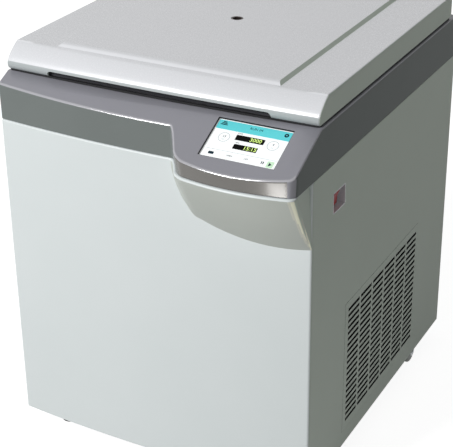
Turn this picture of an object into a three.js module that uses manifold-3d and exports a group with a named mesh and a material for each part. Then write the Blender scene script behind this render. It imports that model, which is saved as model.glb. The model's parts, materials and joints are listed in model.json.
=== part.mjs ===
// Refrigerated centrifuge, floor-standing, in millimetres with +Z up.
// The origin lies on the floor under the middle of the whole object, and the front faces -Y.
import * as THREE from 'three';
import { mergeVertices } from 'three/addons/utils/BufferGeometryUtils.js';
import Module from 'manifold-3d';

const wasm = await Module();
wasm.setup();

// Cabinet
const cabinetWidth = 700;
const cabinetDepth = 780;
const floorGap = 48;
const panelHeight = 702;
const fasciaHeight = 95;
const bumpReach = 100;
const frontBow = 19;

// Sheets, gaps and cuts
const coverWall = 3;
const fasciaWall = 4;
const panelSheet = 2;
const plateSheet = 4;
const deckSheet = 3;
const seatGap = 0.3;
const overrun = 6;

// Chamber, rotor and drive
const depthSpare = 80;
const bowlMargin = 135;
const chamberFrontRoom = 160;
const bowlDepth = 300;
const hubSpace = 9;
const pivotHeight = 120;
const midPlateDrop = 85;

// Lid
const lidGap = 3.6;
const lidBandHeight = 50.4;
const plateauHeight = 6;
const lidRearRoom = 31;
const hingeReach = 13;
const hingeRise = 12;

const halfWidth = cabinetWidth / 2;
const overallDepth = bumpReach + cabinetDepth;
const frontY = bumpReach - overallDepth / 2;
const rearY = frontY + cabinetDepth;
const panelTop = floorGap + panelHeight;
const flatTop = panelTop + fasciaHeight;
const bowlRadius = Math.min(cabinetWidth, cabinetDepth - depthSpare) / 2 - bowlMargin;
const chamberAxisY = frontY + bowlRadius + chamberFrontRoom;
const pivotRadius = (hubSpace + bowlRadius) / 2;
const bowlFloorZ = flatTop - bowlDepth;
const pivotZ = bowlFloorZ + pivotHeight;
const midPlateZ = bowlFloorZ - midPlateDrop;
const lidRearY = rearY - lidRearRoom;
const hingeY = lidRearY + hingeReach;
const hingeZ = flatTop + hingeRise;

const parts = new THREE.Group();

// Joins the shared vertices of a closed geometry and hands it over as a solid.
function solid(geometry) {
  const bare = geometry.index ? geometry.toNonIndexed() : geometry.clone();
  for (const name of Object.keys(bare.attributes)) {
    if (name !== 'position') bare.deleteAttribute(name);
  }
  const merged = mergeVertices(bare);
  return new wasm.Manifold(new wasm.Mesh({
    numProp: 3,
    vertProperties: new Float32Array(merged.attributes.position.array),
    triVerts: new Uint32Array(merged.index.array),
  }));
}

function geometryOf(body) {
  const mesh = body.getMesh();
  const geometry = new THREE.BufferGeometry();
  geometry.setAttribute('position', new THREE.BufferAttribute(new Float32Array(mesh.vertProperties), 3));
  geometry.setIndex(new THREE.BufferAttribute(new Uint32Array(mesh.triVerts), 1));
  return geometry;
}

function join(...bodies) {
  return bodies.reduce((whole, body) => whole.add(body));
}

function cut(body, ...tools) {
  return tools.reduce((rest, tool) => rest.subtract(tool), body);
}

// Adds one named sub-part.
function addPart(name, body, color, roughness, metalness) {
  const geometry = geometryOf(body);
  geometry.computeVertexNormals();
  const mesh = new THREE.Mesh(geometry, new THREE.MeshStandardMaterial({ color, roughness, metalness }));
  mesh.name = name;
  parts.add(mesh);
}

function box(x0, x1, y0, y1, z0, z1) {
  const geometry = new THREE.BoxGeometry(x1 - x0, y1 - y0, z1 - z0);
  geometry.translate((x0 + x1) / 2, (y0 + y1) / 2, (z0 + z1) / 2);
  return solid(geometry);
}

// Extrudes an outline. Along z its points are x and y, along x they are y and z, along y they are x and z.
function prism(outline, axis, from, to) {
  const shape = new THREE.Shape(outline.map(([a, b]) => new THREE.Vector2(a, b)));
  const geometry = new THREE.ExtrudeGeometry(shape, { depth: to - from, bevelEnabled: false });
  if (axis === 'z') geometry.translate(0, 0, from);
  if (axis === 'x') {
    geometry.rotateX(Math.PI / 2);
    geometry.rotateZ(Math.PI / 2);
    geometry.translate(from, 0, 0);
  }
  if (axis === 'y') {
    geometry.rotateX(Math.PI / 2);
    geometry.translate(0, to, 0);
  }
  return solid(geometry);
}

// A flat sheet with through holes of any outline.
function sheet(outline, axis, from, to, holes) {
  const tools = holes.map((hole) => prism(hole, axis, from - overrun, to + overrun));
  return cut(prism(outline, axis, from, to), ...tools);
}

function arc(a, b, radius, fromTurn, toTurn, steps) {
  return Array.from({ length: steps + 1 }, (_, i) => {
    const angle = 2 * Math.PI * (fromTurn + (toTurn - fromTurn) * i / steps);
    return [a + radius * Math.cos(angle), b + radius * Math.sin(angle)];
  });
}

function circle(a, b, radius, count = 20) {
  return arc(a, b, radius, 0, 1 - 1 / count, count - 1);
}

function rod(axis, a, b, radius, from, to, count = 20) {
  return prism(circle(a, b, radius, count), axis, from, to);
}

function roundedRect(a0, a1, b0, b1, radius, steps = 4) {
  return [
    ...arc(a1 - radius, b0 + radius, radius, -1 / 4, 0, steps),
    ...arc(a1 - radius, b1 - radius, radius, 0, 1 / 4, steps),
    ...arc(a0 + radius, b1 - radius, radius, 1 / 4, 1 / 2, steps),
    ...arc(a0 + radius, b0 + radius, radius, 1 / 2, 3 / 4, steps),
  ];
}

// Turns a closed profile of [radius, z] points about the vertical axis through x, y.
function turned(profile, x, y, count = 32) {
  const points = profile.map(([r, z]) => new THREE.Vector2(r, z));
  if (THREE.ShapeUtils.isClockWise(points)) points.reverse();
  points.push(points[0].clone());
  const geometry = new THREE.LatheGeometry(points, count);
  geometry.rotateX(Math.PI / 2);
  geometry.rotateZ(Math.PI / count);
  geometry.translate(x, y, 0);
  return solid(geometry);
}

// Closes a skin over rings with equal counts of points. The caps list triangles over one ring's points.
function skin(rings, firstCap, lastCap) {
  const count = rings[0].length;
  const last = (rings.length - 1) * count;
  const index = [];
  for (let r = 0; r + 1 < rings.length; r += 1) {
    for (let i = 0; i < count; i += 1) {
      const a = r * count + i;
      const b = r * count + (i + 1) % count;
      index.push(a, b, b + count, a, b + count, a + count);
    }
  }
  for (const [a, b, c] of firstCap) index.push(a, c, b);
  for (const [a, b, c] of lastCap) index.push(last + a, last + b, last + c);
  const geometry = new THREE.BufferGeometry();
  geometry.setAttribute('position', new THREE.Float32BufferAttribute(rings.flat(2), 3));
  geometry.setIndex(index);
  return solid(geometry);
}

// Lofts through rings whose ends face the plane 'xy' or 'yz'.
function loft(rings, plane) {
  const flat = ([x, y, z]) => (plane === 'xy' ? new THREE.Vector2(x, y) : new THREE.Vector2(y, z));
  const cap = (ring) => THREE.ShapeUtils.triangulateShape(ring.map(flat), []);
  return skin(rings, cap(rings[0]), cap(rings[rings.length - 1]));
}

// Moves an outline inwards, counter-clockwise outlines having their inside on the left.
function inset(outline, distance) {
  const count = outline.length;
  return outline.map(([x, y], i) => {
    const [px, py] = outline[(i + count - 1) % count];
    const [nx, ny] = outline[(i + 1) % count];
    const before = Math.hypot(x - px, y - py);
    const after = Math.hypot(nx - x, ny - y);
    const ax = -(y - py) / before;
    const ay = (x - px) / before;
    const bx = -(ny - y) / after;
    const by = (nx - x) / after;
    const reach = distance / (1 + ax * bx + ay * by);
    return [x + (ax + bx) * reach, y + (ay + by) * reach];
  });
}

function share(from, to, amount) {
  return from + (to - from) * amount;
}

// A round tube through corner points, each corner cut off over the bend length.
function pipe(corners, radius, bendLength, sides = 6) {
  const points = corners.map((corner) => new THREE.Vector3(...corner));
  const path = points.flatMap((point, i) => {
    if (i === 0 || i === points.length - 1) return [point];
    return [points[i - 1], points[i + 1]].map((other) => (
      other.clone().sub(point).setLength(bendLength).add(point)));
  });
  const along = path.slice(1).map((point, i) => point.clone().sub(path[i]).normalize());
  let across = new THREE.Vector3(0, 0, 1).cross(along[0]);
  if (across.length() < 1 / 2) across = new THREE.Vector3(1, 0, 0);
  const rings = path.map((point, i) => {
    const before = along[Math.max(i - 1, 0)];
    const after = along[Math.min(i, along.length - 1)];
    const normal = before.clone().add(after).normalize();
    across.addScaledVector(normal, -across.dot(normal)).normalize();
    const up = normal.clone().cross(across);
    const reach = radius / Math.sqrt((1 + before.dot(after)) / 2);
    return circle(0, 0, reach, sides).map(([a, b]) => (
      point.clone().addScaledVector(across, a).addScaledVector(up, b).toArray()));
  });
  const fan = Array.from({ length: sides - 2 }, (_, i) => [0, i + 1, i + 2]);
  return skin(rings, fan, fan);
}

// Front outline of the cabinet seen from above, from its right to its left, moved inwards by a wall.
const cornerRadius = 5.5;
const returnFlat = 0.1;
const bowSteps = 16;
const coverReturn = bowAt(halfWidth - cornerRadius) - frontY + cornerRadius + returnFlat;

function bowAt(x) {
  return frontY - frontBow * (1 - (x / halfWidth) ** 2);
}

function bowPoints(fromX, toX, steps, depth) {
  return Array.from({ length: steps + 1 }, (_, i) => {
    const x = share(fromX, toX, i / steps);
    return [x, bowAt(x) + depth];
  });
}

function frontPath(depth) {
  const side = halfWidth - cornerRadius;
  const centreY = bowAt(side) + cornerRadius;
  return [
    [halfWidth - depth, frontY + coverReturn],
    ...arc(side, centreY, cornerRadius - depth, 0, -1 / 4, 3),
    ...bowPoints(side, -side, bowSteps, depth).slice(1, -1),
    ...arc(-side, centreY, cornerRadius - depth, 3 / 4, 1 / 2, 3),
    [-halfWidth + depth, frontY + coverReturn],
  ];
}

// Chin and lip, placed from the cabinet's right side
const flankStartInset = 291;
const flankEndInset = 259;
const lipStartInset = 230;
const lipApexInset = 130;
const chinLowInset = 75;
const chinKinkInset = 250;
// Each station pairs a point of the lip's outline with one where the chin leaves the cover.
const flankStart = halfWidth - flankStartInset;
const flankEnd = halfWidth - flankEndInset;
const flankReach = 64;
const lipStart = halfWidth - lipStartInset;
const lipApexX = halfWidth - lipApexInset;
const lipHalf = 120;
const lipSag = 16;
const lipCorner = 13;
const lipCornerDepth = 17;
const chinDrop = 145.6;
const chinLowX = halfWidth - chinLowInset;
const chinHalf = 155;
const chinRise = 30;
const chinKink = halfWidth - chinKinkInset;
const chinKinkDrop = 103;

function lipAt(x) {
  return frontY - bumpReach + lipSag * ((x - lipApexX) / lipHalf) ** 2;
}

function chinAt(x) {
  return panelTop - chinDrop + chinRise * ((x - chinLowX) / chinHalf) ** 2;
}

function curvePoints(curve, steps) {
  return curve.getPoints(steps).map((point) => [point.x, point.y]);
}

function bend(start, corner, end, steps) {
  const [a, b, c] = [start, corner, end].map(([x, y]) => new THREE.Vector2(x, y));
  return curvePoints(new THREE.QuadraticBezierCurve(a, b, c), steps);
}

const flankFoot = [flankStart, bowAt(flankStart)];
const flankTip = [flankEnd, frontY - flankReach];
const lipFoot = [lipStart, lipAt(lipStart)];
const flankSteps = 5;
const kinkSteps = 5;
const lipSteps = 6;
const cornerSteps = 4;
const lipEndX = halfWidth - lipCorner;
const lipPlaces = [[lipStart, lipApexX], [lipApexX, lipEndX]].flatMap(([from, to]) => (
  Array.from({ length: lipSteps }, (_, i) => share(from, to, (i + 1) / lipSteps))));

const lipOutline = [
  ...bend(flankFoot, [flankStart + cornerRadius, bowAt(flankStart)], flankTip, flankSteps),
  ...bend(flankTip, [chinKink, lipAt(chinKink) + coverWall], lipFoot, kinkSteps).slice(1),
  ...lipPlaces.map((x) => [x, lipAt(x)]),
  ...bend([lipEndX, lipAt(lipEndX)], [halfWidth, lipAt(halfWidth)],
    [halfWidth, lipAt(halfWidth) + lipCornerDepth], cornerSteps).slice(1),
];

const kinkPoint = [chinKink, panelTop - chinKinkDrop];
const chinOutline = [
  ...bend([flankStart, panelTop - seatGap], [flankStart, share(kinkPoint[1], panelTop, 1 / 2)], kinkPoint,
    flankSteps),
  ...bend(kinkPoint, [chinKink + cornerRadius, chinAt(lipStart) + coverWall], [lipStart, chinAt(lipStart)],
    kinkSteps).slice(1),
  ...lipPlaces.map((x) => [x, chinAt(x)]),
  ...bend([lipEndX, chinAt(lipEndX)], [halfWidth, chinAt(halfWidth)], [halfWidth, chinAt(halfWidth)],
    cornerSteps).slice(1),
];

// One solid of the chin. The wall is zero for its outside, and the cover's wall for the hollow cut from it.
function chinBody(wall) {
  const lip = lipOutline.map(([x, y], i) => {
    const [px, py] = lipOutline[Math.max(i - 1, 0)];
    const [nx, ny] = lipOutline[Math.min(i + 1, lipOutline.length - 1)];
    const length = Math.hypot(nx - px, ny - py);
    return [x - (ny - py) / length * wall, y + (nx - px) / length * wall];
  });
  const back = frontY + coverReturn + (wall > 0 ? overrun : 0);
  const top = panelTop + (wall > 0 ? overrun : 0);
  const rings = lip.map(([x, y], i) => {
    const [lowX, lowZ] = chinOutline[i];
    const footX = Math.min(lowX + (i <= flankSteps ? wall : 0), halfWidth - wall);
    const footY = Math.max(bowAt(lowX), y) + (i + 1 === lip.length ? 0 : wall);
    const footZ = Math.min(lowZ + wall, panelTop - seatGap);
    return [[x, back, top], [x, Math.min(y, back - seatGap), top],
      [footX, Math.min(footY, back - seatGap), footZ],
      [footX, back, footZ]];
  });
  return loft(rings, 'yz');
}

const coverOutline = [...frontPath(0), ...frontPath(coverWall).reverse()];
const coverSkin = prism(coverOutline, 'z', floorGap, panelTop);
const chinOuter = chinBody(0);
const chinInner = chinBody(coverWall);
const coverShell = cut(join(coverSkin, chinOuter), chinInner);
addPart('front_cover', coverShell, 0xd2d9d9, 0.45, 0);

// Fascia: a shell with a sloped front and a flat top, open below. A rim lines the chamber's opening.
const slopeSetback = 36.5;
const slopeRun = 136.5;
const slopeDrop = 65.5;
const slopeFillet = 5;
const filletSteps = 3;
const slopeTopY = frontY + slopeSetback;
const slopeAngle = Math.atan(slopeDrop / slopeRun);
const openingSideRoom = 88;
const openingFrontSetback = 78;
const openingRearRoom = 44;
const openingCorner = 20;
const rimWall = 4;
const topFrameHeight = 30;
const topFrameDrop = 18;
const topFrameTop = flatTop - topFrameDrop;
const openingFrontY = frontY + openingFrontSetback;
const openingHalf = halfWidth - openingSideRoom;
const openingRearY = rearY - openingRearRoom;
const deckBottom = topFrameTop + seatGap;
const deckTop = deckBottom + deckSheet;

function slopeAt(y) {
  return flatTop + (y - slopeTopY) * slopeDrop / slopeRun;
}

const fasciaOutline = [
  [halfWidth, rearY],
  [-halfWidth, rearY],
  ...arc(-halfWidth + cornerRadius, bowAt(halfWidth - cornerRadius) + cornerRadius, cornerRadius, 1 / 2,
    3 / 4, 3),
  ...bowPoints(-halfWidth + cornerRadius, flankFoot[0], bowSteps / 2, 0).slice(1, -1),
  ...lipOutline,
];

function slopedBody(outline, bottom, lowered, fillet, steps) {
  const rings = [outline.map(([x, y]) => [x, y, bottom])];
  for (let i = 0; i <= steps; i += 1) {
    const turn = steps > 0 ? Math.PI / 2 * i / steps : 0;
    const depth = fillet * (1 - Math.cos(turn));
    const drop = fillet * (1 - Math.sin(turn)) + lowered;
    rings.push(inset(outline, depth).map(([x, y]) => [x, y, slopeAt(y) - drop]));
  }
  return loft(rings, 'xy');
}

function below(z) {
  return box(-cabinetWidth, cabinetWidth, -overallDepth, overallDepth, -overrun, z);
}

const fasciaBottom = panelTop + seatGap;
const innerDrop = fasciaWall / Math.cos(slopeAngle);
const fasciaOutside = slopedBody(fasciaOutline, fasciaBottom, 0, slopeFillet,
  filletSteps).intersect(below(flatTop));
const fasciaInside = slopedBody(inset(fasciaOutline, fasciaWall), fasciaBottom - overrun, innerDrop, 0, 0)
  .intersect(below(flatTop - fasciaWall));
const rimOutside = roundedRect(-openingHalf - rimWall, openingHalf + rimWall, openingFrontY - rimWall,
  openingRearY + rimWall, openingCorner + rimWall);
const rimInside = roundedRect(-openingHalf, openingHalf, openingFrontY, openingRearY, openingCorner);
const rim = prism(rimOutside, 'z', deckTop + seatGap, flatTop - fasciaWall / 2);

// Touch screen, set behind a window in the slope. Its places are measured across, up and out of the slope.
const screenInset = 126.5;
const screenSetback = 23;
const screenX = halfWidth - screenInset;
const screenY = frontY - screenSetback;
const windowWidth = 157;
const windowHeight = 97.6;
const screenBorder = 6;
const screenThick = 14;
const boardGap = 6;
const boardThick = 2;
const pegRadius = 3;
const pegInset = 10;

function onSlope(body) {
  const geometry = geometryOf(body);
  geometry.rotateX(slopeAngle);
  geometry.translate(screenX, screenY, slopeAt(screenY));
  return solid(geometry);
}

function slab(width, height, from, to) {
  return box(-width / 2, width / 2, -height / 2, height / 2, from, to);
}

const screenTop = -fasciaWall - seatGap;
const screenBottom = screenTop - screenThick;
const boardTop = screenBottom - boardGap;
const screenWidth = windowWidth + 2 * screenBorder;
const screenHeight = windowHeight + 2 * screenBorder;
const pegs = [-1, 1].flatMap((a) => [-1, 1].map((b) => rod('z', a * (windowWidth / 2 - pegInset),
  b * (windowHeight / 2 - pegInset), pegRadius, boardTop + seatGap, screenBottom + pegRadius, 8)));
const windowCut = onSlope(slab(windowWidth, windowHeight, -fasciaWall - overrun, overrun));

// Gas springs, one each side, and the slots that they swing in.
const springInset = 60;
const springFootBack = 7;
const springFootDrop = 105;
const springHeadBack = 86;
const springHeadDrop = 7;
const cylinderRadius = 9;
const cylinderLength = 98;
const springRodRadius = 4;
const eyeRadius = 7;
const eyeWidth = 8;
const springPinRadius = 3.5;
const springBlock = 12;
const springBlockHalf = 15;
const springBlockGap = 4;
const springX = halfWidth - springInset;
const springPinTip = springX - eyeWidth / 2 - seatGap;
const slotSide = 2;
const slotFront = 18;
const slotRear = 3;
const springFootY = hingeY - springFootBack;
const springFootZ = flatTop - springFootDrop;
const springHeadY = hingeY - springHeadBack;
const springHeadZ = flatTop - springHeadDrop;
const springSlots = [-springX, springX].map((x) => prism(roundedRect(x - cylinderRadius - slotSide,
  x + cylinderRadius + slotSide, springHeadY - slotFront, springFootY - slotRear, cylinderRadius / 2, 2),
  'z', deckBottom - overrun, flatTop + overrun));

// Lid lock: a slider runs along the front and its two fingers enter the strikers' notches.
const strikerInset = 150;
const strikerThick = 4;
const strikerDepth = 14;
const strikerSetback = 61;
const strikerX = halfWidth - strikerInset;
const strikerY = frontY + strikerSetback;
const strikerFloorGap = 1.5;
const strikerBottom = deckTop + strikerFloorGap;
const strikerSlotGap = 4;
const strikerSlots = [-strikerX, strikerX].map((x) => box(x - strikerThick / 2 - strikerSlotGap,
  x + strikerThick / 2 + strikerSlotGap, strikerY - strikerDepth / 2 - strikerSlotGap,
  strikerY + strikerDepth / 2 + strikerSlotGap / 2, flatTop - fasciaWall - overrun, flatTop + overrun));

const fascia = cut(
  join(cut(fasciaOutside, fasciaInside), rim),
  prism(rimInside, 'z', deckTop - overrun, flatTop + overrun),
  windowCut,
  ...springSlots,
  ...strikerSlots,
);
addPart('top_fascia', fascia, 0x8c8c94, 0.5, 0);
addPart('touch_screen', onSlope(join(slab(screenWidth, screenHeight, screenBottom, screenTop), ...pegs)),
  0xe8eef0, 0.2, 0);
addPart('control_board',
  onSlope(slab(screenWidth - 2 * screenBorder, windowHeight, boardTop - boardThick, boardTop)),
  0x2f6b3a, 0.6, 0);

// Base, posts, top frame and deck
const postSize = 30;
const rearBar = 20;
const baseFlange = 20;
const baseRise = 2;
const frameSetback = 40;
const baseBottom = floorGap + baseRise;
const baseTop = baseBottom + baseFlange;
const frameHalf = halfWidth - fasciaWall - seatGap;
const frameRearY = rearY - fasciaWall - seatGap;
const frameFrontY = frontY + frameSetback;
const baseHalf = halfWidth - panelSheet - seatGap;
const baseFrontY = frontY + coverReturn + seatGap;
const baseRearY = rearY - panelSheet - seatGap;
const topFrameBottom = topFrameTop - topFrameHeight;
const postFrontY = frameFrontY + postSize;
const postRearY = frameRearY - postSize;
const postInner = frameHalf - postSize;

// Front feet and rear rollers
const footInset = 73;
const footSetback = 63;
const footRadius = 20;
const footHeight = 12;
const stemRadius = 6;
const stemRise = 26;
const nutRadius = 10;
const nutHeight = 6;
const runningGap = 0.4;
const wheelRadius = 27;
const wheelWidth = 22;
const wheelRearRoom = 144;
const wheelInset = 14;
const axleRadius = 4;
const axleTip = 2;
const bracketPlate = 3;
const bracketSide = 1.5;
const footX = halfWidth - footInset;
const stemTop = baseTop + stemRise;
const wheelX = halfWidth - wheelInset - wheelWidth / 2;
const wheelY = rearY - wheelRearRoom;
const footY = frontY + footSetback;
const bracketInner = wheelWidth / 2 + bracketSide;
const bracketOuter = bracketInner + bracketPlate;
const sides = [['left', -1], ['right', 1]];

const stemHoles = sides.map(([, side]) => rod('z', side * footX, footY, stemRadius + runningGap,
  baseBottom - overrun,
  baseTop + overrun));

// A box with two faces on one side of the middle, given by their distances from it.
function sideBox(side, near, far, y0, y1, z0, z1) {
  return box(Math.min(side * near, side * far), Math.max(side * near, side * far), y0, y1, z0, z1);
}

const posts = sides.flatMap(([, side]) => [[frameFrontY, postFrontY],
  [postRearY, frameRearY]].map(([from, to]) => (
  sideBox(side, postInner, frameHalf, from, to, baseTop - plateSheet, topFrameBottom - seatGap))));
const springMounts = sides.flatMap(([, side]) => [
  sideBox(side, springX + cylinderRadius + springBlockGap, postInner + overrun, springFootY - springBlock,
    springFootY + springBlock, springFootZ - springBlockHalf, springFootZ + springBlockHalf),
  rod('x', springFootY, springFootZ, springPinRadius, Math.min(side * springPinTip, side * postInner),
    Math.max(side * springPinTip, side * postInner), 14),
]);
addPart('base_frame', join(cut(
  box(-baseHalf, baseHalf, baseFrontY, baseRearY, baseBottom, baseTop),
  box(-baseHalf + bracketPlate, baseHalf - bracketPlate, baseFrontY + bracketPlate,
    baseRearY - bracketPlate,
    baseBottom - overrun, baseTop - plateSheet),
  ...stemHoles,
), ...posts, ...springMounts), 0x3a3d40, 0.6, 0.2);
addPart('top_frame', cut(
  box(-frameHalf, frameHalf, frameFrontY, frameRearY, topFrameBottom, topFrameTop),
  box(-postInner, postInner, postFrontY, frameRearY - rearBar, topFrameBottom - overrun,
    topFrameTop + overrun),
), 0x3a3d40, 0.6, 0.2);

for (const [name, side] of sides) {
  const x = side * footX;
  addPart(`front_foot_${name}`, join(
    turned([[0, 0], [footRadius, 0], [footRadius, footHeight / 2], [stemRadius, footHeight],
      [stemRadius, stemTop],
      [0, stemTop]], x, footY, 20),
    rod('z', x, footY, nutRadius, footHeight + nutHeight, footHeight + 2 * nutHeight, 6),
  ), 0x1c1c1e, 0.8, 0);
}

const bracketTop = baseTop - plateSheet - seatGap;
for (const [name, side] of sides) {
  const x = side * wheelX;
  const plates = [-1, 1].map((face) => prism([
    [wheelY - wheelRadius, bracketTop], [wheelY - axleRadius * 2, wheelRadius - axleRadius * 2],
    [wheelY + axleRadius * 2, wheelRadius - axleRadius * 2], [wheelY + wheelRadius, bracketTop],
  ], 'x', x + face * (bracketInner + bracketPlate / 2) - bracketPlate / 2,
  x + face * (bracketInner + bracketPlate / 2) + bracketPlate / 2));
  const bridge = box(x - bracketOuter, x + bracketOuter, wheelY - wheelRadius, wheelY + wheelRadius,
    bracketTop - bracketPlate, bracketTop);
  const axle = rod('x', wheelY, wheelRadius, axleRadius, x - bracketOuter - axleTip,
    x + bracketOuter + axleTip, 14);
  addPart(`rear_roller_bracket_${name}`, join(...plates, bridge, axle), 0x8a8d90, 0.4, 0.8);
}
const tyreEdge = 3;
for (const [name, side] of sides) {
  const geometry = geometryOf(turned([[axleRadius + runningGap, -wheelWidth / 2],
    [wheelRadius - tyreEdge, -wheelWidth / 2],
    [wheelRadius, -wheelWidth / 2 + tyreEdge], [wheelRadius, wheelWidth / 2 - tyreEdge],
    [wheelRadius - tyreEdge, wheelWidth / 2], [axleRadius + runningGap, wheelWidth / 2]], 0, 0, 28));
  geometry.rotateY(Math.PI / 2);
  geometry.rotateX(Math.PI / 28);
  geometry.translate(side * wheelX, wheelY, wheelRadius);
  addPart(`rear_wheel_${name}`, solid(geometry), 0x8f9193, 0.6, 0);
}

// Side panels, the vent with its rows of slots, and the recessed mains switch
const panelFrontY = frontY + coverReturn + seatGap;
const panelRearY = rearY;
const ventFrontSetback = 176;
const ventRearRoom = 186;
const ventFoot = 35;
const ventHead = 354;
const ventBottom = floorGap + ventFoot;
const ventTop = floorGap + ventHead;
const ventRows = 20;
const ventRowPitch = 14.42;
const ventFirstRow = 58.5;
const ventColumns = 6;
const ventFirstMargin = 16;
const ventLastMargin = 9.5;
const ventColumnGap = 8.3;
const slotHeight = 7;
const switchFrontSetback = 96;
const switchLength = 60;
const switchDrop = 108;
const switchHeight = 46;
const switchDepth = 20;
const switchWall = 2;
const switchCorner = 4;
const rockerLength = 24;
const rockerHeight = 30;
const rockerDepth = 8;
const rockerTilt = 12;
const rockerPin = 2;
const switchBottom = panelTop - switchDrop;
const switchY0 = frontY + switchFrontSetback;
const switchY1 = switchY0 + switchLength;
const switchTop = switchBottom + switchHeight;
const ventY0 = frontY + ventFrontSetback;
const ventY1 = rearY - ventRearRoom;

function sidePanel(side, holes) {
  const outline = [[panelFrontY, floorGap], [panelRearY, floorGap], [panelRearY, panelTop],
    [panelFrontY, panelTop]];
  const outer = side * halfWidth;
  const inner = side * (halfWidth - panelSheet);
  return sheet(outline, 'x', Math.min(outer, inner), Math.max(outer, inner), holes);
}

const ventHole = [[ventY0, ventBottom], [ventY1, ventBottom], [ventY1, ventTop], [ventY0, ventTop]];
const switchHole = roundedRect(switchY0, switchY1, switchBottom, switchTop, switchCorner, 3);
addPart('left_side_panel', sidePanel(-1, []), 0x767e76, 0.5, 0);
addPart('right_side_panel', sidePanel(1, [ventHole, switchHole]), 0x767e76, 0.5, 0);

const ventSlotsLength = ventY1 - ventY0 - ventFirstMargin - ventLastMargin;
const ventColumnPitch = (ventSlotsLength + ventColumnGap) / ventColumns;
const slotLength = ventColumnPitch - ventColumnGap;
const ventSlots = Array.from({ length: ventRows * ventColumns }, (_, i) => {
  const y = ventY0 + ventFirstMargin + (i % ventColumns) * ventColumnPitch;
  const z = floorGap + ventFirstRow + Math.floor(i / ventColumns) * ventRowPitch - slotHeight / 2;
  return [[y, z], [y + slotLength, z], [y + slotLength, z + slotHeight], [y, z + slotHeight]];
});
addPart('vent_panel', sheet(inset(ventHole, seatGap), 'x', halfWidth - panelSheet, halfWidth, ventSlots),
  0x747c74, 0.5, 0);

const switchOutside = inset(switchHole, seatGap);
const switchInside = inset(switchHole, seatGap + switchWall);
const switchFloorX = halfWidth - switchDepth;
const rockerY = share(switchY0, switchY1, 1 / 2);
const rockerZ = share(switchBottom, switchTop, 1 / 2);
const rockerX = switchFloorX + rockerPin * 2;
const cheekWall = 3;
const cheekY = rockerLength / 2 + runningGap;
const cheeks = [-1, 1].map((side) => {
  const near = rockerY + side * cheekY;
  const far = rockerY + side * (cheekY + cheekWall);
  return box(switchFloorX - switchWall, rockerX + rockerPin * 2, Math.min(near, far), Math.max(near, far),
    rockerZ - rockerPin * 2, rockerZ + rockerPin * 2);
});
addPart('switch_housing', cut(
  join(
    cut(prism(switchOutside, 'x', switchFloorX - switchWall, halfWidth),
      prism(switchInside, 'x', switchFloorX, halfWidth + overrun)),
    ...cheeks,
  ),
  rod('y', rockerX, rockerZ, rockerPin + seatGap, rockerY - cheekY - cheekWall / 2,
    rockerY + cheekY + cheekWall / 2, 12),
), 0x2a2a2c, 0.6, 0);
const rockerOutline = [[rockerX, rockerZ - rockerHeight / 2],
  [rockerX + rockerDepth, rockerZ - rockerHeight / 2],
  [rockerX + rockerDepth * 3 / 4, rockerZ], [rockerX + rockerDepth, rockerZ + rockerHeight / 2],
  [rockerX, rockerZ + rockerHeight / 2], [rockerX - rockerPin, rockerZ]];
const rocker = geometryOf(join(
  prism(rockerOutline, 'y', rockerY - rockerLength / 2, rockerY + rockerLength / 2),
  rod('y', rockerX, rockerZ, rockerPin, rockerY - rockerLength / 2 - cheekWall / 3,
    rockerY + rockerLength / 2 + cheekWall / 3, 12),
));
rocker.translate(-rockerX, 0, -rockerZ);
rocker.rotateY(rockerTilt * Math.PI / 180);
rocker.translate(rockerX, 0, rockerZ);
addPart('power_rocker', solid(rocker), 0xb01818, 0.4, 0);

// Rear panel with its air outlet and mains inlet
const rearHalf = halfWidth - panelSheet - seatGap;
const outletRows = 9;
const outletPitch = 26;
const outletRise = 82;
const outletSideRoom = 200;
const outletHeight = 9;
const inletInset = 110;
const inletRise = 82;
const inletHalfWidth = 18;
const inletHalfHeight = 15;
const inletDepth = 20;
const inletWall = 3;
const pinWidth = 2;
const pinLength = 14;
const pinSpacing = 9;
const inletX = inletInset - halfWidth;
const outletHalf = halfWidth - outletSideRoom;
const inletZ = floorGap + inletRise;
const inletHole = roundedRect(inletX - inletHalfWidth - inletWall - seatGap,
  inletX + inletHalfWidth + inletWall + seatGap,
  inletZ - inletHalfHeight - inletWall - seatGap, inletZ + inletHalfHeight + inletWall + seatGap,
    inletWall, 2);
const outletHoles = Array.from({ length: outletRows }, (_, i) => {
  const z = floorGap + outletRise + i * outletPitch;
  return [[-outletHalf, z], [outletHalf, z], [outletHalf, z + outletHeight],
    [-outletHalf, z + outletHeight]];
});
const rearOutline = [[-rearHalf, floorGap], [rearHalf, floorGap], [rearHalf, panelTop],
  [-rearHalf, panelTop]];
addPart('rear_panel', sheet(rearOutline, 'y', rearY - panelSheet, rearY, [inletHole, ...outletHoles]),
  0x767e76, 0.5, 0);
const inletBody = cut(
  prism(inset(inletHole, seatGap), 'y', rearY - inletDepth - inletWall, rearY),
  box(inletX - inletHalfWidth, inletX + inletHalfWidth, rearY - inletDepth, rearY + overrun,
    inletZ - inletHalfHeight,
    inletZ + inletHalfHeight),
);
const inletPins = [-pinSpacing, 0,
  pinSpacing].map((x) => box(inletX + x - pinWidth / 2, inletX + x + pinWidth / 2,
  rearY - inletDepth - inletWall / 2, rearY - inletDepth + pinLength, inletZ + pinWidth,
    inletZ + pinSpacing));
addPart('mains_inlet', join(inletBody, ...inletPins), 0x1c1c1e, 0.5, 0);

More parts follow.
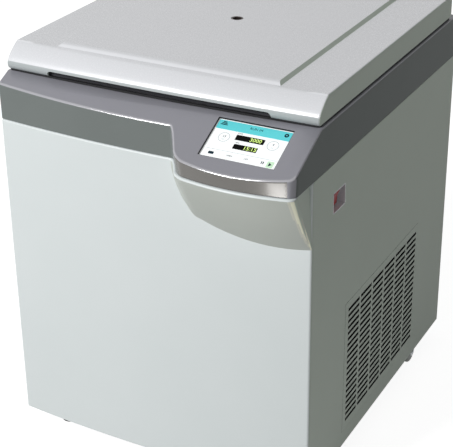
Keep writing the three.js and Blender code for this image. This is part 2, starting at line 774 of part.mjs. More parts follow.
// Deck, chamber bowl, gasket, insulation, barrel and mid plate
const bowlSheet = 2;
const bowlFlange = 25;
const bowlCorner = 20;
const bowlHole = 30;
const gasketInset = 4;
const gasketWidth = 14;
const linerRise = 5.3;
const coilRadius = 5;
const coilTurns = 4.5;
const coilRise = 40;
const coilHeight = 200;
const coilClearance = 3.2;
const insulationThick = 60;
const insulationFloor = 40;
const barrelGap = 3;
const barrelWall = 8;
const motorRadius = 100;
const motorHoleGap = 4;
const pipeRadius = 5;
const pipeStandOff = 34;
const pipeHoleGap = 2;
const linerBottom = flatTop + linerRise;
const bowlOuter = bowlRadius + bowlSheet;
const insulationOuter = bowlRadius + insulationThick;
const barrelInner = insulationOuter + barrelGap;
const barrelOuter = barrelInner + barrelWall;
const pipeReach = barrelOuter + pipeStandOff;
const flangeBottom = deckTop + seatGap;
const flangeTop = flangeBottom + bowlSheet;
const coilBottom = bowlFloorZ + coilRise;
const coilTop = coilBottom + coilHeight;
const coilMiddle = bowlOuter + coilClearance + coilRadius;
const insulationInner = coilMiddle + coilRadius + coilClearance / 2;
const insulationTop = deckBottom - seatGap;
const midPlateTop = midPlateZ + plateSheet;
const wide = 36;

function ring(inner, outer, from, to, count = wide) {
  return turned([[inner, from], [outer, from], [outer, to], [inner, to]], 0, chamberAxisY, count);
}

addPart('top_deck', cut(
  box(-frameHalf, frameHalf, frameFrontY, frameRearY, deckBottom, deckTop),
  rod('z', 0, chamberAxisY, bowlOuter + gasketInset, deckBottom - overrun, deckTop + overrun, wide),
  ...springSlots,
), 0x3a3d40, 0.6, 0.2);
addPart('chamber_bowl', turned([
  [bowlHole, bowlFloorZ], [bowlOuter - bowlCorner, bowlFloorZ], [bowlOuter, bowlFloorZ + bowlCorner],
  [bowlOuter, flangeBottom], [bowlOuter + bowlFlange, flangeBottom], [bowlOuter + bowlFlange, flangeTop],
  [bowlRadius, flangeTop], [bowlRadius, bowlFloorZ + bowlCorner + bowlSheet / 2],
  [bowlRadius - bowlCorner, bowlFloorZ + bowlSheet], [bowlHole, bowlFloorZ + bowlSheet],
], 0, chamberAxisY, wide), 0xb9bcc0, 0.25, 1);
addPart('chamber_gasket',
  ring(bowlRadius + gasketInset, bowlRadius + gasketInset + gasketWidth, flangeTop + seatGap,
  linerBottom - seatGap), 0x1c1c1e, 0.8, 0);

class Helix extends THREE.Curve {
  getPoint(t) {
    const angle = 2 * Math.PI * coilTurns * t + Math.PI / 4;
    return new THREE.Vector3(coilMiddle * Math.cos(angle), chamberAxisY + coilMiddle * Math.sin(angle),
      share(coilBottom, coilTop, t));
  }
}

const coilShape = new THREE.Shape(circle(0, 0, coilRadius, 5).map(([a, b]) => new THREE.Vector2(a, b)));
const coilSteps = coilTurns * 20;
addPart('evaporator_coil',
  solid(new THREE.ExtrudeGeometry(coilShape, { steps: coilSteps, extrudePath: new Helix() })),
  0xb87333, 0.35, 0.9);

// The refrigerant pipes pass the insulation and the barrel at the coil's two ends.
const pipeTurns = [Math.PI / 4, Math.PI / 4 + Math.PI];
const pipeLevels = [coilBottom, coilTop];

function aroundAxis(radius, angle) {
  return [radius * Math.cos(angle), chamberAxisY + radius * Math.sin(angle)];
}

function radialHole(angle, z, from, to) {
  const geometry = geometryOf(rod('x', 0, 0, pipeRadius + pipeHoleGap, from, to, 10));
  geometry.rotateZ(angle);
  geometry.translate(0, chamberAxisY, z);
  return solid(geometry);
}

const radialHoles = pipeTurns.map((angle, i) => radialHole(angle, pipeLevels[i], bowlOuter,
  barrelOuter + overrun));
const plateHoles = pipeTurns.map((angle) => rod('z', ...aroundAxis(pipeReach, angle),
  pipeRadius + pipeHoleGap,
  midPlateZ - overrun, midPlateTop + overrun, 12));
const insulationSkirt = 36;
const insulationFloorTop = bowlFloorZ - seatGap;
addPart('insulation_shell', cut(turned([
  [bowlHole, insulationFloorTop - insulationFloor], [insulationOuter - insulationSkirt,
    insulationFloorTop - insulationFloor], [insulationOuter - insulationSkirt, midPlateTop + seatGap],
  [insulationOuter, midPlateTop + seatGap], [insulationOuter, insulationTop],
    [insulationInner, insulationTop],
  [insulationInner, insulationFloorTop], [bowlHole, insulationFloorTop],
], 0, chamberAxisY, wide), ...radialHoles), 0xe6dfc8, 0.9, 0);
addPart('safety_barrel',
  cut(ring(barrelInner, barrelOuter, midPlateTop + seatGap, insulationTop), ...radialHoles),
  0x55585c, 0.5, 0.7);
addPart('mid_plate', cut(
  box(-postInner + seatGap, postInner - seatGap, frameFrontY, frameRearY, midPlateZ, midPlateTop),
  rod('z', 0, chamberAxisY, motorRadius + motorHoleGap, midPlateZ - overrun, midPlateTop + overrun, wide),
  ...plateHoles,
), 0x3a3d40, 0.6, 0.2);

// Motor on rubber dampers, shaft and swing-out rotor
const damperWidth = 18;
const damperReach = 117;
const damperHeight = 19.4;
const motorFlangeRadius = 130;
const motorFlangeThick = 10;
const motorHeight = 264;
const motorRib = 6;
const shaftRadius = 10;
const shaftShoulder = 25;
const shaftDepth = 90;
const hubRadius = 30;
const hubDrop = 55;
const hubRise = 25;
const shoulderThick = 12;
const knobRadius = 20;
const knobHeight = 26;
const barGap = 2;
const barWidth = 10;
const barHeight = 30;
const barOverreach = 14;
const webThick = 12;
const trunnionRadius = 5;
const trunnionReach = 5.4;
const bucketSpacingShare = 13 / 56;
const bucketWall = 3;
const swingClearanceShare = 18 / 215;
const bucketRim = 15;
const lugThick = 5;
const lugRadius = 12;
const barReach = pivotRadius + barOverreach;
const bucketHalf = pivotRadius * (1 - bucketSpacingShare) / 2;
const bucketDepth = bowlRadius * (1 - swingClearanceShare) - pivotRadius;
const barOffset = bucketHalf + lugThick + barGap + barWidth / 2;
const motorFlangeBottom = midPlateTop + damperHeight + 2 * seatGap;
const motorTop = motorFlangeBottom + motorFlangeThick;
const motorBottom = motorTop - motorHeight;
const hubBottom = pivotZ - hubDrop;
const hubTop = pivotZ + hubRise;
addPart('motor_damper_ring', ring(damperReach - damperWidth / 2, damperReach + damperWidth / 2,
  midPlateTop + seatGap, motorFlangeBottom - seatGap), 0x1c1c1e, 0.9, 0);
addPart('motor_housing', turned([
  [0, motorBottom], [motorRadius - motorRib, motorBottom], [motorRadius, motorBottom + motorRib],
  [motorRadius, motorFlangeBottom], [motorFlangeRadius, motorFlangeBottom], [motorFlangeRadius, motorTop],
  [shaftRadius + runningGap, motorTop], [shaftRadius + runningGap, motorTop - shaftDepth],
  [0, motorTop - shaftDepth],
], 0, chamberAxisY, 36), 0x6b7075, 0.5, 0.6);
addPart('drive_shaft', turned([
  [0, motorTop - shaftDepth + seatGap], [shaftRadius, motorTop - shaftDepth + seatGap],
  [shaftRadius, hubBottom - shoulderThick - seatGap], [shaftShoulder, hubBottom - shoulderThick / 2],
  [shaftShoulder, hubBottom - seatGap], [shaftRadius, hubBottom - seatGap],
  [shaftRadius, hubTop + knobHeight / 2],
  [0, hubTop + knobHeight / 2],
], 0, chamberAxisY, 24), 0xa8abb0, 0.3, 1);

function spun(body, quarter) {
  const geometry = geometryOf(body);
  geometry.rotateZ(quarter * Math.PI / 2);
  geometry.translate(0, chamberAxisY, 0);
  return solid(geometry);
}

const barPair = [-1, 1].map((side) => box(-barReach, barReach, side * barOffset - barWidth / 2,
  side * barOffset + barWidth / 2, pivotZ - barHeight / 2, pivotZ + barHeight / 2));
const trunnions = [-1, 1].flatMap((end) => [-1, 1].map((side) => {
  const root = side * barOffset;
  const tip = side * (barOffset - barWidth / 2 - trunnionReach);
  return rod('y', end * pivotRadius, pivotZ, trunnionRadius, Math.min(root, tip), Math.max(root, tip), 12);
}));
const webHalf = barOffset - barWidth / 2 + seatGap;
addPart('rotor_cross', cut(
  join(
    ...[0, 1].flatMap((quarter) => [...barPair, ...trunnions].map((body) => spun(body, quarter))),
    spun(box(-webHalf, webHalf, -webHalf, webHalf, pivotZ - webThick / 2, pivotZ + webThick / 2), 0),
    rod('z', 0, chamberAxisY, hubRadius, hubBottom, hubTop, 24),
  ),
  rod('z', 0, chamberAxisY, shaftRadius + seatGap, hubBottom - overrun, hubTop + overrun, 24),
), 0x9ea2a8, 0.35, 0.9);
addPart('rotor_knob', cut(
  rod('z', 0, chamberAxisY, knobRadius, hubTop + seatGap, hubTop + seatGap + knobHeight, 24),
  rod('z', 0, chamberAxisY, shaftRadius + seatGap, hubTop - overrun, hubTop + knobHeight / 2 + 2 * seatGap,
    24),
), 0x2a2a2c, 0.4, 0);
const bucketInner = bucketHalf - bucketWall;
const lugs = [-1, 1].map((side) => {
  const near = side * (bucketHalf - bucketWall / 2);
  const far = side * (bucketHalf + lugThick);
  return rod('y', pivotRadius, pivotZ, lugRadius, Math.min(near, far), Math.max(near, far), 12);
});
const lugHoles = [-1, 1].map((side) => {
  const near = side * (bucketHalf + seatGap);
  const far = side * (bucketHalf + lugThick + overrun);
  return rod('y', pivotRadius, pivotZ, trunnionRadius + runningGap, Math.min(near, far),
    Math.max(near, far), 12);
});
const bucket = cut(
  join(prism(roundedRect(pivotRadius - bucketHalf, pivotRadius + bucketHalf, -bucketHalf, bucketHalf,
    bucketWall * 2, 2), 'z', pivotZ - bucketDepth, pivotZ + bucketRim), ...lugs),
  box(pivotRadius - bucketInner, pivotRadius + bucketInner, -bucketInner, bucketInner,
    pivotZ - bucketDepth + bucketWall, pivotZ + bucketRim + overrun),
  ...lugHoles,
);
for (const quarter of [0, 1, 2, 3]) addPart(`rotor_bucket_${quarter + 1}`, spun(bucket, quarter), 0xb0b4ba,
  0.35, 0.8);

// Cooling and drive units on the base
const unitFloor = baseTop + seatGap;
const compressorAside = 11.3;
const compressorBehind = 41.3;
const compressorRadius = 75;
const compressorHeight = 210;
const compressorFoot = 62;
const condenserSetback = 24;
const condenserThick = 28;
const condenserInset = 15;
const condenserHeadroom = 64.7;
const condenserLip = 3;
const shroudHeadroom = 25;
const shroudSideRoom = 44;
const fanOffset = 10;
const shroudThick = 30;
const shroudSheet = 3;
const fanMargin = 32;
const bladeGap = 6;
const bladeThick = 3;
const bladeTilt = 0.5;
const bladeCount = 5;
const fanHubRadius = 28;
const fanHubDepth = 22;
const fanMotorRadius = 32;
const fanMotorLength = 46;
const armWidth = 12;
const fanShaftRadius = 4;
const fanShaftLength = 16;
const inverterInset = 15;
const inverterWidth = 85;
const inverterDepth = 200;
const inverterSetback = 50;
const inverterHeight = 180;
const finHeight = 12;
const finThick = 4;
const finCount = 7;
const [suctionX, suctionY] = aroundAxis(pipeReach, pipeTurns[1]);
const compressorX = suctionX + compressorAside;
const compressorY = suctionY + compressorBehind;
const condenserX1 = halfWidth - condenserSetback;
const condenserX0 = condenserX1 - condenserThick;
const condenserFront = ventY0 + condenserInset;
const condenserRear = ventY1 - condenserInset;
const condenserTop = midPlateZ - condenserHeadroom;
const shroudHalf = Math.min(condenserTop - unitFloor - shroudHeadroom,
  condenserRear - condenserFront - 2 * shroudSideRoom) / 2;
const fanRadius = shroudHalf - fanMargin;
const bladeRadius = fanRadius - bladeGap;
const fanY = chamberAxisY + fanOffset;
const fanZ = share(unitFloor, condenserTop, 1 / 2);
const inverterX0 = inverterInset - halfWidth;
const inverterX1 = inverterX0 + inverterWidth;
const inverterRear = rearY - inverterSetback;
const inverterFront = inverterRear - inverterDepth;
addPart('compressor', join(
  turned([[0, unitFloor + condenserLip], [compressorRadius - condenserLip, unitFloor + condenserLip],
    [compressorRadius, unitFloor + 4 * condenserLip],
      [compressorRadius, unitFloor + compressorHeight - compressorRadius / 3],
    [compressorRadius * 2 / 3, unitFloor + compressorHeight], [0, unitFloor + compressorHeight]],
  compressorX, compressorY, 28),
  box(compressorX - compressorFoot, compressorX + compressorFoot, compressorY - compressorFoot,
    compressorY + compressorFoot, unitFloor, unitFloor + 2 * condenserLip),
), 0x1f2022, 0.4, 0.3);
addPart('condenser', join(
  box(condenserX0 + condenserLip, condenserX1 - condenserLip, condenserFront, condenserRear, unitFloor,
    condenserTop),
  ...[[condenserFront, condenserFront + condenserLip],
    [condenserRear - condenserLip, condenserRear]].map(([from, to]) => (
    box(condenserX0, condenserX1, from, to, unitFloor, condenserTop))),
), 0x9fa3a6, 0.5, 0.8);
const shroudX1 = condenserX0 - seatGap;
const shroudX0 = shroudX1 - shroudThick;
const fanX1 = shroudX1 - 2 * overrun;
const fanX0 = fanX1 - fanHubDepth;
const fanMotorX1 = fanX0 - seatGap;
const fanMotorX0 = fanMotorX1 - fanMotorLength;
const fanArms = [-1, 1].map((side) => join(
  box(fanMotorX0, fanMotorX0 + armWidth, Math.min(fanY, fanY + side * (shroudHalf - armWidth)),
    Math.max(fanY, fanY + side * (shroudHalf - armWidth)), fanZ - armWidth / 2, fanZ + armWidth / 2),
  box(fanMotorX0, shroudX0 + shroudSheet / 2,
    Math.min(fanY + side * (shroudHalf - armWidth), fanY + side * shroudHalf),
    Math.max(fanY + side * (shroudHalf - armWidth), fanY + side * shroudHalf), fanZ - armWidth / 2,
      fanZ + armWidth / 2),
));
addPart('fan_shroud', cut(
  join(
    cut(
      box(shroudX0, shroudX1, fanY - shroudHalf, fanY + shroudHalf, unitFloor, fanZ + shroudHalf),
      box(shroudX0 + shroudSheet, shroudX1 + overrun, fanY - shroudHalf + shroudSheet,
        fanY + shroudHalf - shroudSheet,
        unitFloor + shroudSheet, fanZ + shroudHalf - shroudSheet),
      rod('x', fanY, fanZ, fanRadius, shroudX0 - overrun, shroudX1 + overrun, 36),
    ),
    rod('x', fanY, fanZ, fanMotorRadius, fanMotorX0, fanMotorX1, 20),
    ...fanArms,
  ),
  rod('x', fanY, fanZ, fanShaftRadius + seatGap, fanMotorX1 - fanShaftLength - seatGap,
    fanMotorX1 + overrun, 12),
), 0x26282a, 0.6, 0);
const blades = Array.from({ length: bladeCount }, (_, i) => {
  const geometry = new THREE.BoxGeometry(bladeThick, fanHubDepth, bladeRadius - fanHubRadius / 2);
  geometry.translate(0, 0, (bladeRadius + fanHubRadius / 2) / 2);
  geometry.rotateZ(Math.PI / 2 - bladeTilt);
  geometry.rotateX(2 * Math.PI * i / bladeCount);
  geometry.translate(share(fanX0, fanX1, 1 / 2), fanY, fanZ);
  return solid(geometry);
});
addPart('condenser_fan', join(
  rod('x', fanY, fanZ, fanHubRadius, fanX0, fanX1, 20),
  rod('x', fanY, fanZ, fanShaftRadius, fanX0 - fanShaftLength, fanX0 + seatGap, 12),
  ...blades,
), 0x303236, 0.5, 0);
const fins = Array.from({ length: finCount }, (_, i) => {
  const y = share(inverterFront, inverterRear - finThick, i / (finCount - 1));
  return box(inverterX1 - finThick, inverterX1 + finHeight, y, y + finThick, unitFloor + finHeight,
    unitFloor + inverterHeight - finHeight);
});
addPart('drive_inverter', join(
  box(inverterX0, inverterX1, inverterFront, inverterRear, unitFloor, unitFloor + inverterHeight), ...fins,
), 0x7d8186, 0.5, 0.5);
const compressorTop = unitFloor + compressorHeight + seatGap;
const pipeLevel = midPlateZ - 5 * pipeRadius;
const pipeBend = 3 * pipeRadius;
const drierRadius = 14;
const drierLength = 90;
const coilEnd = coilMiddle + coilRadius + seatGap;
const condenserMiddle = share(condenserX0, condenserX1, 1 / 2);
const dischargeFront = compressorY - compressorRadius;
const liquidZ = unitFloor + 8 * pipeRadius;
const liquidRear = condenserRear + 10 * pipeRadius;
const [liquidX, liquidY] = aroundAxis(pipeReach, pipeTurns[0]);
const dischargeX = compressorX + compressorRadius / 3;
const liquidLine = pipe([
  [condenserMiddle, condenserRear + seatGap, liquidZ], [condenserMiddle, liquidRear, liquidZ],
  [liquidX, liquidRear, liquidZ], [liquidX, liquidY, share(liquidZ, coilBottom, 1 / 4)],
  [liquidX, liquidY, coilBottom], [...aroundAxis(coilEnd, pipeTurns[0]), coilBottom],
], pipeRadius, pipeBend);
const drierBottom = share(liquidZ, coilBottom, 1 / 4) + 2 * pipeBend;
addPart('discharge_line', pipe([
  [dischargeX, compressorY, compressorTop], [dischargeX, compressorY, pipeLevel],
  [dischargeX, dischargeFront, pipeLevel], [condenserMiddle, dischargeFront, pipeLevel],
  [condenserMiddle, condenserFront + pipeBend, pipeLevel],
  [condenserMiddle, condenserFront + pipeBend, condenserTop + seatGap],
], pipeRadius, pipeBend), 0xb87333, 0.35, 0.9);
addPart('liquid_line',
  join(liquidLine, rod('z', liquidX, liquidY, drierRadius, drierBottom, drierBottom + drierLength,
  16)), 0xb87333, 0.35, 0.9);
addPart('suction_line', pipe([
  [...aroundAxis(coilEnd, pipeTurns[1]), coilTop], [suctionX, suctionY, coilTop],
    [suctionX, suctionY, compressorTop],
], pipeRadius, pipeBend), 0xb87333, 0.35, 0.9);

// Lid shell: its side profile runs across the cabinet, and the front bows out a little at the middle.
const lidInset = 3;
const lidBow = 6;
const lidWall = 4;
const lidSteps = 12;
const lidFrontSetback = 34.6;
const lidBandReach = 3.2;
const lidBandTop = 18.6;
const lidBrowBack = 13.6;
const lidBrowTop = 38.3;
const browSteps = 5;
const lidStripBack = 36.4;
const plateauRootBack = 31;
const plateauFootMargin = 102;
const plateauTopMargin = 109;
const plateauFrontBack = 46.4;
const notchHeight = 12;
const notchCorner = 8;
const portRadius = 13;
const portBore = 9.5;
const windowThick = 4;
const linerSheet = 2;
const panMargin = 15;
const panDepth = 14;
const anchorSheet = 4;
const anchorHalf = 10;
const panRadius = bowlRadius - panMargin;
const lidHalf = halfWidth - lidInset;
const lidBottom = flatTop + lidGap;
const lidFrontY = frontY + lidFrontSetback;
const lidStripTop = lidBottom + lidBandHeight;
const plateauTop = lidStripTop + plateauHeight;

const lidFrontProfile = [
  ...bend([lidFrontY + lidStripBack, lidStripTop], [lidFrontY + lidBrowBack, lidBottom + lidBrowTop],
    [lidFrontY - lidBandReach, lidBottom + lidBandTop], browSteps),
  [lidFrontY, lidBottom],
];

function lidBody(wall, bottom) {
  return loft(Array.from({ length: lidSteps + 1 }, (_, i) => {
    const x = share(-lidHalf + wall, lidHalf - wall, i / lidSteps);
    const bow = lidBow * (1 - (x / lidHalf) ** 2);
    const front = lidFrontProfile.map(([y, z], place) => {
      const reach = place === 0 ? 0 : bow;
      return [y - reach + (place === 0 ? 0 : wall),
        z === lidBottom ? bottom : Math.min(z, lidStripTop - wall)];
    });
    return [...front, [lidRearY - wall, bottom],
      [lidRearY - wall, lidStripTop - wall]].map(([y, z]) => [x, y, z]);
  }), 'yz');
}

const plateauSide = prism([[lidFrontY + plateauRootBack, lidStripTop - lidWall],
  [lidRearY, lidStripTop - lidWall],
  [lidRearY, plateauTop], [lidFrontY + plateauFrontBack, plateauTop]], 'x', -halfWidth, halfWidth);
const footHalf = halfWidth - plateauFootMargin;
const topHalf = halfWidth - plateauTopMargin;
const flare = (footHalf - topHalf) * lidWall / plateauHeight;
const plateauFront = prism([[-footHalf - flare, lidStripTop - lidWall],
  [footHalf + flare, lidStripTop - lidWall],
  [topHalf, plateauTop], [-topHalf, plateauTop]], 'y', lidFrontY - overrun, lidRearY + overrun);
const notchHalf = halfWidth - plateauFootMargin;
const notch = prism(roundedRect(-notchHalf, notchHalf, lidBottom - notchHeight, lidBottom + notchHeight,
  notchCorner), 'y', lidFrontY - 4 * overrun, lidFrontY + lidWall + overrun);
const portHole = rod('z', 0, chamberAxisY, portRadius + seatGap, linerBottom - 4 * overrun,
  plateauTop + overrun, 24);
const lidShell = cut(
  join(lidBody(0, lidBottom), plateauSide.intersect(plateauFront)),
  lidBody(lidWall, lidBottom - overrun),
  notch,
  portHole,
);
addPart('lid_shell', lidShell, 0xd8dadc, 0.3, 0);
const linerHalf = lidHalf - lidWall - seatGap;
const linerFrontY = lidFrontY + lidWall + seatGap;
const linerRearY = lidRearY - lidWall - seatGap;
const linerTop = linerBottom + linerSheet;
const panBottom = linerBottom - panDepth;
const anchors = sides.map(([, side]) => {
  const near = springX + eyeWidth / 2 + seatGap;
  return sideBox(side, near, near + anchorSheet, springHeadY - anchorHalf, springHeadY + anchorHalf,
    springHeadZ - eyeRadius, linerBottom + linerSheet / 2);
});
addPart('lid_liner', join(
  cut(box(-linerHalf, linerHalf, linerFrontY, linerRearY, linerBottom, linerTop),
    rod('z', 0, chamberAxisY, panRadius - linerSheet, linerBottom - overrun, linerTop + overrun, wide)),
  turned([[portRadius + seatGap, panBottom], [panRadius, panBottom], [panRadius, linerTop],
    [panRadius - linerSheet, linerTop], [panRadius - linerSheet, panBottom + linerSheet],
    [portRadius + seatGap, panBottom + linerSheet]], 0, chamberAxisY, wide),
  ...anchors,
), 0xc6c9cc, 0.35, 0.8);
const foamFrontY = lidFrontY + lidStripBack + lidWall + seatGap;
addPart('lid_insulation', cut(
  box(-linerHalf, linerHalf, foamFrontY, linerRearY, linerTop + seatGap, lidStripTop - lidWall - seatGap),
  rod('z', 0, chamberAxisY, portRadius + seatGap, linerBottom, lidStripTop + overrun, 24),
), 0xe6dfc8, 0.9, 0);
addPart('lid_port_bushing',
  turned([[portBore, panBottom], [portRadius, panBottom], [portRadius, plateauTop],
  [portBore, plateauTop]], 0, chamberAxisY, 24), 0x1c1c1e, 0.4, 0);
const portWindowTop = plateauTop - 2 * windowThick;
addPart('lid_port_window',
  rod('z', 0, chamberAxisY, portBore - seatGap, portWindowTop - windowThick, portWindowTop, 24),
  0x30363a, 0.1, 0);

// Hinges behind the lid: brackets with their pins on the fascia, leaves on the lid
const hingeInset = 120;
const knuckleRadius = 9;
const hingePinRadius = 4;
const knuckleHalf = 15;
const earThick = 6;
const earGap = 0.6;
const hingeSheet = 2;
const leafSheet = 3;
const leafHalf = 28;
const leafBottomDrop = 4;
const leafHeight = 37;
const bracketFrontGap = 3;
const bracketHalf = 32;
const bracketBottom = flatTop + seatGap;
const hingeX = halfWidth - hingeInset;
const earFrom = knuckleHalf + earGap;
const leafFrontY = lidRearY + seatGap;
const leafBottom = hingeZ - leafBottomDrop;
for (const [name, side] of sides) {
  const x = side * hingeX;
  const ears = [-1, 1].flatMap((face) => {
    const from = x + face * earFrom - (face < 0 ? earThick : 0);
    return [
      rod('x', hingeY, hingeZ, knuckleRadius, from, from + earThick, 16),
      box(from, from + earThick, hingeY - knuckleRadius, hingeY + knuckleRadius, bracketBottom, hingeZ),
    ];
  });
  addPart(`hinge_bracket_${name}`, join(
    box(x - bracketHalf, x + bracketHalf, lidRearY + bracketFrontGap, rearY - hingeSheet, bracketBottom,
      bracketBottom + hingeSheet),
    ...ears,
    rod('x', hingeY, hingeZ, hingePinRadius, x - earFrom - earThick / 2, x + earFrom + earThick / 2, 12),
  ), 0x8a8d90, 0.4, 0.8);
  addPart(`hinge_leaf_${name}`, cut(
    join(
      rod('x', hingeY, hingeZ, knuckleRadius, x - knuckleHalf, x + knuckleHalf, 16),
      box(x - knuckleHalf, x + knuckleHalf, leafFrontY + leafSheet / 2, hingeY, hingeZ + hingePinRadius,
        hingeZ + knuckleRadius),
      box(x - leafHalf, x + leafHalf, leafFrontY, leafFrontY + leafSheet, leafBottom,
        leafBottom + leafHeight),
    ),
    rod('x', hingeY, hingeZ, hingePinRadius + runningGap, x - knuckleHalf - overrun,
      x + knuckleHalf + overrun, 12),
  ), 0x8a8d90, 0.4, 0.8);
}

// Gas springs, drawn upright from the foot pivot and leaned to the head
const springLength = Math.hypot(springHeadY - springFootY, springHeadZ - springFootZ);
const springLean = Math.atan2(springFootY - springHeadY, springHeadZ - springFootZ);
const springNeck = 12;
const springBoreStart = 18;
const springRodStart = 25;

function leaned(body, x) {
  const geometry = geometryOf(body);
  geometry.rotateX(springLean);
  geometry.translate(x, springFootY, springFootZ);
  return solid(geometry);
}

for (const [name, side] of sides) {
  const x = side * springX;
  const eye = (level, bore) => cut(
    rod('x', 0, level, eyeRadius, -eyeWidth / 2, eyeWidth / 2, 16),
    rod('x', 0, level, bore, -eyeWidth, eyeWidth, 16),
  );
  const footEye = cut(
    join(rod('x', 0, 0, eyeRadius, -eyeWidth / 2, eyeWidth / 2, 16),
      rod('z', 0, 0, springRodRadius, eyeRadius / 2,
      springNeck + seatGap, 12), rod('z', 0, 0, cylinderRadius, springNeck, cylinderLength, 20)),
    rod('x', 0, 0, springPinRadius + runningGap, -eyeWidth, eyeWidth, 16),
    rod('z', 0, 0, springRodRadius + seatGap, springBoreStart, cylinderLength + overrun, 12),
  );
  const headEye = join(
    rod('z', 0, 0, springRodRadius, springRodStart, springLength - eyeRadius + seatGap, 12),
    eye(springLength, springPinRadius),
  );
  addPart(`gas_cylinder_${name}`, leaned(footEye, x), 0x1f2022, 0.35, 0.5);
  addPart(`gas_rod_${name}`, leaned(headEye, x), 0xc4c7ca, 0.15, 1);
}

// Lid lock: hooked strikers on the lid, and a slider in two guides with its actuator's case
const strikerBase = 3;
const strikerBaseHalf = 12;
const strikerNotchBack = 4;
const strikerNotchLift = 2.2;
const sliderThick = 3.6;
const sliderWidth = 8;
const sliderOverreach = 40;
const sliderReach = 10;
const fingerGap = 6;
const fingerLength = 32;
const fingerHalf = 3.4;
const guideInset = 100;
const guideHalf = 10;
const guideWall = 3;
const guideStrip = 1.5;
const actuatorLength = 44;
const actuatorDepth = 28;
const sliderEnd = strikerX + sliderOverreach;
const guideX = strikerX - guideInset;
const strikerTop = linerBottom - seatGap;
for (const [name, side] of sides) {
  const x = side * strikerX;
  addPart(`lid_striker_${name}`, cut(
    join(
      box(x - strikerBaseHalf, x + strikerBaseHalf, strikerY - strikerDepth / 2, strikerY + strikerDepth / 2,
        strikerTop - strikerBase, strikerTop),
      box(x - strikerThick / 2, x + strikerThick / 2, strikerY - strikerDepth / 2,
        strikerY + strikerDepth / 2, strikerBottom, strikerTop),
    ),
    box(x - strikerThick, x + strikerThick, strikerY - strikerDepth / 2 - overrun, strikerY + strikerNotchBack,
      strikerBottom + strikerNotchLift - seatGap, strikerTop - strikerBase),
  ), 0xa8abb0, 0.3, 1);
}
const sliderBottom = strikerBottom + strikerNotchLift + seatGap;
const sliderTop = sliderBottom + sliderThick;
const sliderRear = strikerY - strikerDepth / 2 - strikerSlotGap + seatGap;
const sliderFront = sliderRear - sliderWidth;
const fingerTips = [-strikerX, strikerX].map((x) => x - strikerThick / 2 - fingerGap);
addPart('lock_slider', join(
  box(-sliderEnd, fingerTips[1], sliderFront, sliderRear, sliderBottom, sliderTop),
  ...fingerTips.map((tip) => join(
    box(tip - fingerLength, tip - sliderReach, sliderFront, strikerY + fingerHalf, sliderBottom, sliderTop),
    box(tip - fingerLength, tip, strikerY - fingerHalf, strikerY + fingerHalf, sliderBottom, sliderTop),
  )),
), 0xa8abb0, 0.3, 1);
const guideBottom = deckTop + seatGap;
const guideTop = flatTop - fasciaWall - seatGap;
addPart('lock_housing', join(
  ...[-guideX, guideX].map((x) => cut(
    box(x - guideHalf, x + guideHalf, sliderFront - guideWall, sliderRear + guideWall, guideBottom,
      guideTop),
    box(x - guideHalf - overrun, x + guideHalf + overrun, sliderFront - seatGap, sliderRear + seatGap,
      sliderBottom - seatGap, sliderTop + seatGap),
  )),
  box(-sliderEnd - actuatorLength, guideX, sliderFront - guideWall, sliderRear, guideBottom,
    guideBottom + guideStrip),
  box(-sliderEnd - actuatorLength, -sliderEnd - seatGap, sliderFront - guideWall,
    sliderFront - guideWall + actuatorDepth,
    guideBottom, guideTop),
), 0x26282a, 0.6, 0);

export default parts;
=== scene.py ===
import json
import math
import bmesh
import bpy
from mathutils import Matrix, Vector


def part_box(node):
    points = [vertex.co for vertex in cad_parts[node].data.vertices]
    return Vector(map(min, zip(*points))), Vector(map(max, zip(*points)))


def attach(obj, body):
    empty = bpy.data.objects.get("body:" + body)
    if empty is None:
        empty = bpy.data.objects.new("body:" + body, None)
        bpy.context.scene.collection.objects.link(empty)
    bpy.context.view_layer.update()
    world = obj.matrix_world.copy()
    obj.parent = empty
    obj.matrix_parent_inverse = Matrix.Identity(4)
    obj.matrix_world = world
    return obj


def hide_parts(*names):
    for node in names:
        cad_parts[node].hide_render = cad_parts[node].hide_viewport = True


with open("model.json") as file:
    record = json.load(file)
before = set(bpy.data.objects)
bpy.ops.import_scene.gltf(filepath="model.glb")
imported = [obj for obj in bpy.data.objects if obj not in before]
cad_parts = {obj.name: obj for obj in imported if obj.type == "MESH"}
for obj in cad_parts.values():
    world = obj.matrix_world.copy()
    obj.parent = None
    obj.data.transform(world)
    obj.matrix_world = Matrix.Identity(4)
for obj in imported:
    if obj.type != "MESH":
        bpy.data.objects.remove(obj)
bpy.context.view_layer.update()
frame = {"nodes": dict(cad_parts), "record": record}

mm = 0.001
bodyOf = {node: body for body, nodes in frame["record"]["behaviour"]["bodies"].items() for node in nodes}
slotOf = {part["node"]: part["material_slot"] for part in frame["record"]["subparts"]}
print("frame loaded:", len(frame["nodes"]), "nodes")


# small helpers for colours, nodes and meshes

def toLinear(hexText):
    channels = [int(hexText[i:i + 2], 16) / 255 for i in (0, 2, 4)]
    return tuple(c / 12.92 if c <= 0.04045 else ((c + 0.055) / 1.055) ** 2.4 for c in channels) + (1.0,)


def addNode(tree, kind, settings=None, links=None):
    node = tree.nodes.new(kind)
    for key, value in (settings or {}).items():
        if isinstance(key, int) or key in node.inputs:
            node.inputs[key].default_value = value
        else:
            setattr(node, key, value)
    for key, source in (links or {}).items():
        tree.links.new(source, node.inputs[key])
    return node


